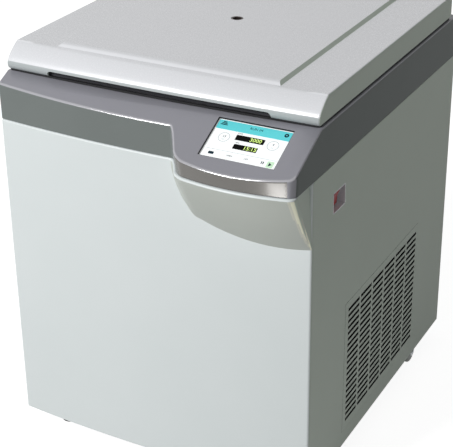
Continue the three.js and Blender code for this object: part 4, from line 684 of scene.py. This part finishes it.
def makeLid():
    over, half, touch = lid["over"], lidHigh.x, mm / 100
    body = roundChosen(lidBody("lid_body", 0, lidLow.z), lid["endRound"], 5,
                       lambda a, b: abs(abs(a.x) - half) < touch and abs(a.x - b.x) < touch)
    top, root = lidHigh.z, stripTop - lid["wall"]
    footX, topX = halfWidth - lid["footMargin"], halfWidth - lid["topMargin"]
    rootX = footX + (footX - topX) * lid["wall"] / (top - stripTop)
    frontRoot, frontTop = lidFrontY + lid["rootBack"], lidFrontY + lid["plateauBack"]
    corners = [(s * x, y, z) for x, z, front in ((rootX, root, frontRoot), (topX, top, frontTop))
               for s, y in ((-1, front), (1, front), (1, lidHigh.y), (-1, lidHigh.y))]
    raised = plainMesh("plateau", corners,
                       [(0, 1, 2, 3), (4, 5, 6, 7), (0, 1, 5, 4), (1, 2, 6, 5), (2, 3, 7, 6), (3, 0, 4, 7)])
    raised = roundChosen(raised, lid["plateauRound"], 6,
                         lambda a, b: max(a.y, b.y) < frontTop + over and min(a.z, b.z) > stripTop)
    shell = carved(body, raised, "UNION")
    shell = carved(shell, lidBody("lid_hollow", lid["wall"], lidLow.z - over))
    notchLine = roundedRect(-footX, footX, lidLow.z - lid["notchHeight"], lidLow.z + lid["notchHeight"],
                            lid["notchCorner"])
    notch = loft("notch", [[(x, y, z) for x, z in notchLine]
                           for y in (lidFrontY - 4 * over, lidFrontY + lid["wall"] + over)])
    port = prism("port_hole", disc(0, chamberY, lid["portRadius"], 48), lidLow.z, top + over)
    return carved(shell, gathered("lid_cuts", [notch, port]))


lidPiece = putFor("lid_shell", makeLid(), 1.0, segments=3, angle=24,
                  extra=[panelPowder, bevelHighlightPaint, lidEdgeShade])
turned = {"end": 0.5, "bevel": -0.35, "footFront": -0.3, "footUp": 0.35}
# The lid's ends take the side panels' paint, whose darker greener tone is painted shade. The bevel below the
# plateau takes a whiter paint as a painted highlight. The downward faces along the lower edge take a greyer
# paint as painted shade.
for face in lidPiece.data.polygons:
    centre, facing = face.center, face.normal
    lowDown = facing.z < turned["footUp"] and centre.z < lidLow.z + lid["shadeTop"]
    if abs(facing.x) > turned["end"]:
        face.material_index = 1
    elif facing.y < turned["bevel"] and centre.z > stripTop - mm and facing.z > 0:
        face.material_index = 2
    elif facing.y < turned["footFront"] and lowDown:
        face.material_index = 3
print("lid made")


# the other solids, with their edges rounded a little

# A name stands for the left and right or the numbered nodes of that name too.
softEdges = {
    "lid_liner": 0.6, "lid_striker": 0.3, "left_side_panel": 0.6, "right_side_panel": 0.6, "rear_panel": 0.6,
    "vent_panel": 0.25, "switch_housing": 0.4, "power_rocker": 0.8, "mains_inlet": 0.5, "base_frame": 0.8,
    "top_frame": 0.8, "top_deck": 0.5, "chamber_bowl": 0.8, "chamber_gasket": 2.0, "rotor_cross": 1.2,
    "rotor_knob": 2.0, "rotor_bucket": 1.0, "drive_shaft": 0.5, "motor_housing": 1.5,
    "motor_damper_ring": 1.5, "mid_plate": 0.6, "compressor": 2.0, "fan_shroud": 0.8,
    "condenser_fan": 0.6, "drive_inverter": 1.0, "front_foot": 1.2, "rear_wheel": 1.0,
    "rear_roller_bracket": 0.5, "hinge_bracket": 0.6, "hinge_leaf": 0.6, "gas_cylinder": 0.6,
    "gas_rod": 0.4, "lock_slider": 0.4, "lock_housing": 0.6, "touch_screen": 0.3, "lid_port_bushing": 0.8,
}
softNodes = [(name + end, width) for name, width in softEdges.items()
             for end in ("", "_left", "_right", "_1", "_2", "_3", "_4") if name + end in frame["nodes"]]
ownFinish = {"lid_port_bushing": [portRing], "condenser": [finCoatingAndSlotShade], "fan_shroud": [blackEnamel],
             "switch_housing": [lidPaint], "vent_panel": [panelPowder, finCoatingAndSlotShade]}
for node, width in softNodes:
    softened(node, width, ownFinish.get(node))
for node, obj in frame["nodes"].items():
    obj.data.materials.clear()
    obj.data.materials.append(ownFinish.get(node, [finishOf[slotOf[node]]])[0])
# Faces across the vent panel, the slot walls and the panel's edges, take the black coating as painted shade.
for face in bpy.data.objects["vent_panel_piece"].data.polygons:
    if abs(face.normal.x) < 0.5:  # the walls of the slots
        face.material_index = 1
print("solids softened:", len(softNodes))


# black pieces as painted shade: a rubber rest under the lid's skirt that also darkens the gap, a sheet behind
# the finger notch and a lining round the screen

def makeRestAndGapShade():
    # A black rubber rest on the fascia under the lid's skirt; its black also stands as painted shade in the
    # gap under the skirt.
    rest = {"inset": 1.9 * mm, "width": 7 * mm, "low": 0.05 * mm, "high": 3.15 * mm, "ease": 0.7 * mm,
            "corner": 7 * mm, "cornerSteps": 6, "rearStop": 42 * mm, "halfSteps": 24}
    half = lidHigh.x - rest["inset"]
    side, front, rear = half - rest["corner"], lidFrontY + rest["inset"], rearY - rest["rearStop"]
    centreY, steps = front + rest["corner"], rest["halfSteps"]
    line = [(half, rear), *arc(side, centreY, rest["corner"], 0, -0.25, rest["cornerSteps"])]
    line += [(x, front - lid["bow"] * (1 - (x / side) ** 2))
             for x in (side * (1 - i / steps) for i in range(1, 2 * steps))]
    line += [*arc(-side, centreY, rest["corner"], -0.25, -0.5, rest["cornerSteps"]), (-half, rear)]
    shoulder, inner = rest["high"] - rest["ease"], rest["width"] - rest["ease"]
    section = [(0, rest["low"]), (0, shoulder), (rest["ease"], rest["high"]), (inner, rest["high"]),
               (rest["width"], shoulder), (rest["width"], rest["low"])]
    rings = []
    for i, (x, y) in enumerate(line):
        leftX, leftY = leftOf(line, i)
        rings.append([(x - leftX * across, y - leftY * across, flatTop + up) for across, up in section])
    putRounded("lid_rest_strip", loft("lid_rest_strip", rings), "top_fascia", blackRubberAndShade, 0.2, 1)


def makeNotchShade():
    # A sheet behind the finger notch, inside the lid's skirt, as painted shade in the notch: black above,
    # grey along its foot.
    backing = {"front": 4.2 * mm, "thick": 3.6 * mm, "low": -0.3 * mm, "split": 5.5 * mm, "high": 14 * mm,
               "past": 5 * mm, "round": 0.8 * mm, "roundSteps": 3}
    half = halfWidth - lid["footMargin"] + backing["past"]
    y0 = lidFrontY + backing["front"]
    for name, low, high, finish in (("notch_backing", backing["split"], backing["high"], blackRubberAndShade),
                                    ("notch_foot", backing["low"], backing["split"], notchShadeGrey)):
        section = roundedRect(y0, y0 + backing["thick"], lidLow.z + low, lidLow.z + high, backing["round"],
                              backing["roundSteps"])
        mesh = loft(name, [[(x, y, z) for y, z in section] for x in (-half, 0, half)])
        putRounded(name, mesh, "lid_shell", finish, 0.3)


def makeWindowShadeSeal():
    # A thin black lining on the walls of the screen's recess, as painted shade on those walls.
    seal = {"thick": 0.7 * mm, "above": 0.25 * mm, "below": 0.3 * mm, "bite": 0.02 * mm}
    wide, high = window["width"] / 2 + seal["bite"], window["height"] / 2 + seal["bite"]
    outer = [(-wide, -high), (wide, -high), (wide, high), (-wide, high)]
    inner = [(x - math.copysign(seal["thick"], x), y - math.copysign(seal["thick"], y)) for x, y in outer]
    low, top = -window["depth"] + seal["below"], -seal["above"]
    mesh = loftAcross("window_seal", [(outer, low), (outer, top), (inner, top), (inner, low)], closed=True)
    putRounded("window_seal", onSlope(mesh), "top_fascia", blackRubberAndShade, 0.15, 1)


makeRestAndGapShade()
makeNotchShade()
makeWindowShadeSeal()
print("rest strip, notch backing and window seal made")


# what the display shows, as thin lit shapes on the screen, laid in layers

screenFace = {"lift": 0.12 * mm, "step": 0.06 * mm, "ringSteps": 48}
markThick = screenFace["step"] * 0.8


def onScreen(mesh, layer):
    return onSlope(mesh, -window["depth"] + screenFace["lift"] + layer * screenFace["step"])


def flatPlate(name, outline, layer=0):
    return onScreen(prism(name, outline, 0, markThick), layer)


def bar(name, u, v, wide, high, layer=0):
    x, y = wide / 2, high / 2
    return flatPlate(name, [(u - x, v - y), (u + x, v - y), (u + x, v + y), (u - x, v + y)], layer)


def ringPlate(name, u, v, across, line):
    rings = []
    for i in range(screenFace["ringSteps"] + 1):
        t = 2 * math.pi * i / screenFace["ringSteps"]
        rings.append([(u + (across / 2 - d) * math.cos(t), v + (across / 2 - d) * math.sin(t), z)
                      for d, z in ((0, 0), (0, markThick), (line, markThick), (line, 0))])
    return onScreen(loft(name, rings, caps=False), 0)


def writing(text, u, v, high, layer=0, align="CENTER"):
    curve = bpy.data.curves.new(text, "FONT")
    curve.body = text
    curve.size = high
    curve.align_x = align
    curve.align_y = "CENTER"
    curve.extrude = screenFace["step"] * 0.4
    curve.resolution_u = 3
    holder = linked(text, curve)
    mesh = bakedMesh(holder)
    bpy.data.objects.remove(holder)
    mesh.transform(Matrix.Translation((u, v, curve.extrude)))
    return onScreen(mesh, layer)


def inMm(values):
    return [value * mm for value in values]


def makeDisplay():
    # Read off the photo, in millimetres from the middle of the screen. After colour and layer come a plate's
    # left, right, low, high and corner, a disc's sides, middle and radius, a bar's middle, width and height,
    # and a word's middle and height.
    plates = {"header": ("cyan", 0, -76, 76, 24.5, 46.5, 2),
              "stop_key": ("ink", 0, -63, -52, -38.5, -32, 1.5),
              "start_ground": ("mint", 0, 57.5, 71, -44, -29, 2)}
    discs = {"round_key": ("ink", 1, 24, 66, 37.6, 4.6), "round_key_dot": ("cyan", 2, 16, 66, 37.6, 1.5)}
    bars = {"menu_low": ("ink", 1, -63, 36, 15, 2.2), "menu_middle": ("ink", 1, -63, 39.4, 11, 2.2),
            "menu_high": ("ink", 1, -63, 42.8, 7, 2.2), "hold_left": ("ink", 0, 46.5, -35, 1.8, 6),
            "hold_right": ("ink", 0, 50, -35, 1.8, 6), "divider": ("line", 0, 0, -25.5, 146, 0.6)}
    words = {"RUN 04": ("ink", 1, 4, 37.8, 8), "OPEN": ("ink", 0, -19.9, -35, 5),
             "LIST": ("ink", 0, 15.1, -35, 5)}
    startMark = [(61.5, -41), (67.5, -36.5), (61.5, -32)]
    dials = {"15": (-49.7, 6.2, "min"), "9": (50.8, 7.8, "acc")}
    readouts = {"3000": (2.2, 11.2, 59, 13, "SPEED"), "15:15": (1.8, -10.7, 49, 12, "TIME")}
    dial = {"across": 23, "line": 0.9, "valueUp": 2, "valueHigh": 7.5, "unitDown": 5, "label": 4}
    readout = {"corner": 1.2, "digits": 12.5, "digitsAside": 0.2, "labelUp": 3.4}

    shown = {kind: [] for kind in displayInks}
    for name, (kind, layer, *sizes) in plates.items():
        shown[kind].append(flatPlate(name, roundedRect(*inMm(sizes)), layer))
    for name, (kind, layer, sides, *sizes) in discs.items():
        shown[kind].append(flatPlate(name, disc(*inMm(sizes), sides), layer))
    for name, (kind, layer, *sizes) in bars.items():
        shown[kind].append(bar(name, *inMm(sizes), layer))
    for word, (kind, layer, *sizes) in words.items():
        shown[kind].append(writing(word, *inMm(sizes), layer))
    shown["ink"].append(flatPlate("start_mark", [inMm(point) for point in startMark], 1))
    for value, (u, v, unit) in dials.items():
        shown["line"].append(ringPlate("dial_ring", *inMm((u, v, dial["across"], dial["line"]))))
        shown["ink"].append(writing(value, *inMm((u, v + dial["valueUp"], dial["valueHigh"]))))
        shown["line"].append(writing(unit, *inMm((u, v - dial["unitDown"], dial["label"]))))
    for digits, (u, v, wide, high, label) in readouts.items():
        left, right, low, up = u - wide / 2, u + wide / 2, v - high / 2, v + high / 2
        ground = roundedRect(*inMm((left, right, low, up, readout["corner"])))
        shown["black"].append(flatPlate("readout", ground))
        digitsMiddle = u + wide * readout["digitsAside"]
        shown["lime"].append(writing(digits, *inMm((digitsMiddle, v, readout["digits"])), 1))
        shown["ink"].append(writing(label, *inMm((left, up + readout["labelUp"], dial["label"])), 0, "LEFT"))
    for kind, finish in displayInks.items():
        name = "display_" + kind
        putPiece(name, gathered(name, shown[kind]), bodyOf["touch_screen"], [finish])


makeDisplay()
print("display drawn")


# geometry nodes for what repeats: fins and screws

def bakedFrom(name, tree, settings):
    # Sets the tree's inputs before its first evaluation and keeps the result as a plain mesh.
    holder = linked(name, bpy.data.meshes.new(name))
    modifier = holder.modifiers.new("Repeat", "NODES")
    modifier.node_group = tree
    sockets = {item.name: item.identifier for item in tree.interface.items_tree
               if item.item_type == "SOCKET" and item.in_out == "INPUT"}
    for key, value in settings.items():
        modifier[sockets[key]] = value
    mesh = bakedMesh(holder)
    holder.modifiers.remove(modifier)
    bpy.data.objects.remove(holder)
    return mesh


def openTree(name, inputs):
    # A new node group with its named inputs, one output and the outputs of its input node.
    tree = bpy.data.node_groups.new(name, "GeometryNodeTree")
    for key, kind in inputs.items():
        tree.interface.new_socket(key, in_out="INPUT", socket_type="NodeSocket" + kind)
    tree.interface.new_socket("Geometry", in_out="OUTPUT", socket_type="NodeSocketGeometry")
    return tree, addNode(tree, "NodeGroupInput").outputs


def shapeOf(tree, source):
    return addNode(tree, "GeometryNodeObjectInfo", None, {"Object": source}).outputs["Geometry"]


def closeTree(tree, given, points, turned=None):
    # Copies of Item on the points, made real and given their finish.
    copies = addNode(tree, "GeometryNodeInstanceOnPoints", None,
                     {"Points": points, "Instance": shapeOf(tree, given["Item"]), **(turned or {})})
    real = addNode(tree, "GeometryNodeRealizeInstances", None, {0: copies.outputs[0]})
    painted = addNode(tree, "GeometryNodeSetMaterial", None,
                      {"Geometry": real.outputs[0], "Material": given["Finish"]})
    addNode(tree, "NodeGroupOutput", None, {0: painted.outputs[0]})
    return tree


def stackTree():
    # Copies of Item from Start, each one Step on, Count of them; Uneven shifts each a little.
    tree, given = openTree("stack_along", {"Item": "Object", "Count": "Int", "Start": "Vector",
                                           "Step": "Vector", "Uneven": "Float", "Seed": "Int",
                                           "Finish": "Material"})
    line = addNode(tree, "GeometryNodeMeshLine", {"mode": "OFFSET"},
                   {"Count": given["Count"], "Start Location": given["Start"], "Offset": given["Step"]})
    drift = addNode(tree, "ShaderNodeVectorMath", {"operation": "SCALE", 0: (1, 1, 1)},
                    {"Scale": given["Uneven"]})
    back = addNode(tree, "ShaderNodeVectorMath", {"operation": "SCALE", "Scale": -1.0}, {0: drift.outputs[0]})
    loose = addNode(tree, "FunctionNodeRandomValue", {"data_type": "FLOAT_VECTOR"},
                    {"Min": back.outputs[0], "Max": drift.outputs[0], "Seed": given["Seed"]})
    shift = addNode(tree, "GeometryNodeSetPosition", None,
                    {"Geometry": line.outputs[0], "Offset": loose.outputs[0]})
    return closeTree(tree, given, shift.outputs[0])


def scatterTree():
    # Copies of Item on the points of Places, each turned its own way about its axis.
    tree, given = openTree("place_on_points", {"Places": "Object", "Item": "Object", "Facing": "Rotation",
                                               "Turn": "Float", "Seed": "Int", "Finish": "Material"})
    points = addNode(tree, "GeometryNodeMeshToPoints", None, {"Mesh": shapeOf(tree, given["Places"])})
    angle = addNode(tree, "FunctionNodeRandomValue", {"data_type": "FLOAT"},
                    {3: given["Turn"], "Seed": given["Seed"]})
    spin = addNode(tree, "FunctionNodeAxisAngleToRotation", {"Axis": (0, 0, 1)}, {"Angle": angle.outputs[1]})
    facing = addNode(tree, "FunctionNodeRotateRotation", {"rotation_space": "LOCAL"},
                     {0: given["Facing"], 1: spin.outputs[0]})
    return closeTree(tree, given, points.outputs[0], {"Rotation": facing.outputs[0]})


stackAlong, placeOnPoints = stackTree(), scatterTree()


def makeCondenser():
    # Thin plates stand across the air's way between two headers, with rows of tube through them.
    core = {"pitch": 4.2 * mm, "thick": 0.3 * mm, "frame": 2.6 * mm, "channel": 1.2 * mm, "inset": 3 * mm,
            "wave": 0.5 * mm, "bends": 6, "endRoom": 1.4 * mm, "tube": 4.7 * mm, "tubeSides": 12, "rows": 8,
            "tubesAt": (0.28, 0.72), "uneven": 0.15 * mm}
    low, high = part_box("condenser")
    edge, channel, slotName = core["frame"], core["channel"], slotOf["condenser"]
    ends = [block("header", (low.x, y, low.z), (high.x, y + edge, high.z)) for y in (low.y, high.y - edge)]
    ends += [block("channel", (low.x, low.y + edge, z), (high.x, high.y - edge, z + channel))
             for z in (low.z, high.z - channel)]
    putPiece("condenser_piece", gathered("condenser", ends), bodyOf["condenser"], [blackEnamel],
             ["condenser"])
    x0, x1 = low.x + core["inset"], high.x - core["inset"]
    finLow, finHigh = low.z + core["endRoom"], high.z - core["endRoom"]
    line = [(x0 + (x1 - x0) * i / core["bends"], core["wave"] * (i % 2)) for i in range(core["bends"] + 1)]
    section = ((0, finLow), (0, finHigh), (core["thick"], finHigh), (core["thick"], finLow))
    rings = [[(x, y + out, z) for out, z in section] for x, y in line]
    fin = linked("fin", loft("fin", rings))
    fins = bakedFrom("condenser_fins", stackAlong, {
        "Item": fin, "Count": int((high.y - low.y - 2 * edge) / core["pitch"]),
        "Start": (0, low.y + edge + core["pitch"] / 2, 0), "Step": (0, core["pitch"], 0),
        "Uneven": core["uneven"], "Seed": 5, "Finish": finCoatingAndSlotShade})
    bpy.data.objects.remove(fin)
    putPiece("condenser_fins", fins, bodyOf["condenser"], [finCoatingAndSlotShade])
    tubes = []
    for row in range(core["rows"]):
        z = low.z + (high.z - low.z) * (row + 0.5) / core["rows"]
        for x in (x0 + (x1 - x0) * share for share in core["tubesAt"]):
            tubes.append(loft("tube", [[(px, y, pz) for px, pz in disc(x, z, core["tube"], core["tubeSides"])]
                                       for y in (low.y + edge * 0.5, high.y - edge * 0.5)]))
    mesh = gathered("condenser_tubes", tubes)
    mesh.shade_smooth()
    putPiece("condenser_tubes", mesh, bodyOf["condenser"], [finCoatingAndSlotShade])


makeCondenser()
print("condenser finned")


def screwMesh():
    # A low pan head with a cross recess, its axis along Z and its seat at zero.
    head = {"radius": 4.2 * mm, "height": 2.4 * mm, "slotLong": 4.6 * mm, "slotWide": 1.1 * mm,
            "slotDeep": 1.5 * mm, "sides": 14}
    tall = head["height"]
    profile = [(head["radius"] * wide, tall * up) for wide, up in ((1, 0), (1, 0.4), (0.84, 0.82), (0.55, 1))]
    rings = [[(x, y, z) for x, y in disc(0, 0, radius, head["sides"])] for radius, z in profile]
    wide, long = head["slotWide"] / 2, head["slotLong"] / 2
    cross, arm = [], [(long, -wide), (long, wide), (wide, wide)]
    for _ in range(4):
        cross += arm
        arm = [(-y, x) for x, y in arm]
    return carved(loft("screw_head", rings), prism("recess", cross, tall - head["slotDeep"], tall + mm))


def putScrews(name, node, spots, facing, seed):
    places = bpy.data.meshes.new(name + "_places")
    places.from_pydata(spots, [], [])
    holders = [linked(name + "_places", places), linked(name + "_item", screwMesh())]
    mesh = bakedFrom(name, placeOnPoints, {"Places": holders[0], "Item": holders[1], "Facing": facing,
                                           "Turn": math.pi, "Seed": seed, "Finish": zincSteel})
    for holder in holders:
        bpy.data.objects.remove(holder)
    putPiece(name, mesh, bodyOf[node], [zincSteel])


def rearScrews():
    low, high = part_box("rear_panel")
    margin, lift, spans = 9 * mm, 0.02 * mm, 4
    y, xs, zs = high.y + lift, (low.x + margin, high.x - margin), (low.z + margin, high.z - margin)
    spots = [(x, y, zs[0] + (zs[1] - zs[0]) * i / spans) for x in xs for i in range(spans + 1)]
    spots += [(xs[0] + (xs[1] - xs[0]) * i / spans, y, z) for i in range(1, spans) for z in zs]
    putScrews("rear_panel_screws", "rear_panel", spots, (-math.pi / 2, 0, 0), 3)


def deckScrews():
    aside, along, top = 225 * mm, 205 * mm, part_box("top_deck")[1].z
    spots = [(x * aside, chamberY + y * along, top) for x in (-1, 1) for y in (-1, 1)]
    putScrews("deck_screws", "top_deck", spots, (0, 0, 0), 7)


rearScrews()
deckScrews()
print("screws set")


# light, floor and camera

stage = {"floor": 9.0, "floorGlow": 0.9, "worldLight": 0.2,
         "keyPlace": (-2.4, -5.1, 4.2), "keyAim": (0, 0, 0.6), "keyPower": 363.0, "keySize": 2.2,
         "lipPlace": (0.285, -1.07, 0.115), "lipAim": (0.29, -0.43, 0.765), "lipPower": 0.022,
         "lipSize": 0.18, "lipSpread": 24}
view = {"wide": 453, "high": 447, "focal": 1362.01, "centreX": 261.206, "centreY": 227.462, "sensor": 36.0,
        "place": (1.2755, -2.4115, 1.8082), "right": (0.895, 0.446, 0), "up": (-0.2015, 0.4045, 0.892)}
white = (1, 1, 1, 1)


def emptyTree(owner):
    owner.use_nodes = True
    owner.node_tree.nodes.clear()
    return owner.node_tree


def showAndLight(tree, lit, seen, output):
    # Camera, glossy and transmission rays meet seen, light that is on its way elsewhere meets lit.
    path = addNode(tree, "ShaderNodeLightPath")
    share = path.outputs["Is Camera Ray"]
    for ray in ("Is Glossy Ray", "Is Transmission Ray"):
        share = addNode(tree, "ShaderNodeMath", {"operation": "ADD", "use_clamp": True},
                        {0: share, 1: path.outputs[ray]}).outputs[0]
    both = addNode(tree, "ShaderNodeMixShader", None, {0: share, 1: lit.outputs[0], 2: seen.outputs[0]})
    addNode(tree, output, None, {"Surface": both.outputs[0]})


def makeFloor():
    size = stage["floor"]
    corners = [(-size, -size, 0), (size, -size, 0), (size, size, 0), (-size, size, 0)]
    mesh = bpy.data.meshes.new("floor")
    mesh.from_pydata(corners, [], [(0, 1, 2, 3)])
    floor = linked("floor", mesh)
    material = bpy.data.materials.new("studio_paper")  # matt white paper that keeps a soft shadow
    tree = emptyTree(material)
    paper = addNode(tree, "ShaderNodeBsdfDiffuse", {"Color": toLinear("b4b4b4")})
    glow = addNode(tree, "ShaderNodeEmission", {"Color": white, "Strength": stage["floorGlow"]})
    bright = addNode(tree, "ShaderNodeAddShader", None, {0: paper.outputs[0], 1: glow.outputs[0]})
    showAndLight(tree, paper, bright, "ShaderNodeOutputMaterial")
    mesh.materials.append(material)


def makeWorld():
    world = bpy.data.worlds.new("studio")
    bpy.context.scene.world = world
    tree = emptyTree(world)
    soft = addNode(tree, "ShaderNodeBackground", {"Color": white, "Strength": stage["worldLight"]})
    plain = addNode(tree, "ShaderNodeBackground", {"Color": white, "Strength": 1.0})
    showAndLight(tree, soft, plain, "ShaderNodeOutputWorld")


def makeLamp(name, key):
    place = Vector(stage[key + "Place"])
    data = bpy.data.lights.new(name, "AREA")
    data.energy = stage[key + "Power"]
    data.size = stage[key + "Size"]
    lamp = linked(name, data)
    lamp.location = place
    lamp.rotation_mode = "QUATERNION"
    lamp.rotation_quaternion = (place - Vector(stage[key + "Aim"])).to_track_quat("Z", "Y")
    return lamp


def makeCamera():
    # Fitted to the photo: focal length and centre in pixels, place in metres.
    data = bpy.data.cameras.new("photo_camera")
    data.sensor_width = view["sensor"]
    data.lens = view["focal"] * view["sensor"] / view["wide"]
    data.shift_x = (view["wide"] / 2 - view["centreX"]) / view["wide"]
    data.shift_y = (view["centreY"] - view["high"] / 2) / view["wide"]
    camera = linked("photo_camera", data)
    right, up = Vector(view["right"]).normalized(), Vector(view["up"]).normalized()
    turn = Matrix((right, up, right.cross(up))).transposed().to_4x4()
    camera.matrix_world = Matrix.Translation(view["place"]) @ turn
    bpy.context.scene.camera = camera


makeFloor()
makeWorld()
makeLamp("key", "key")
makeLamp("lip_glint", "lip").data.spread = math.radians(stage["lipSpread"])
makeCamera()
bpy.context.scene.view_settings.view_transform = "Standard"
print("stage set")
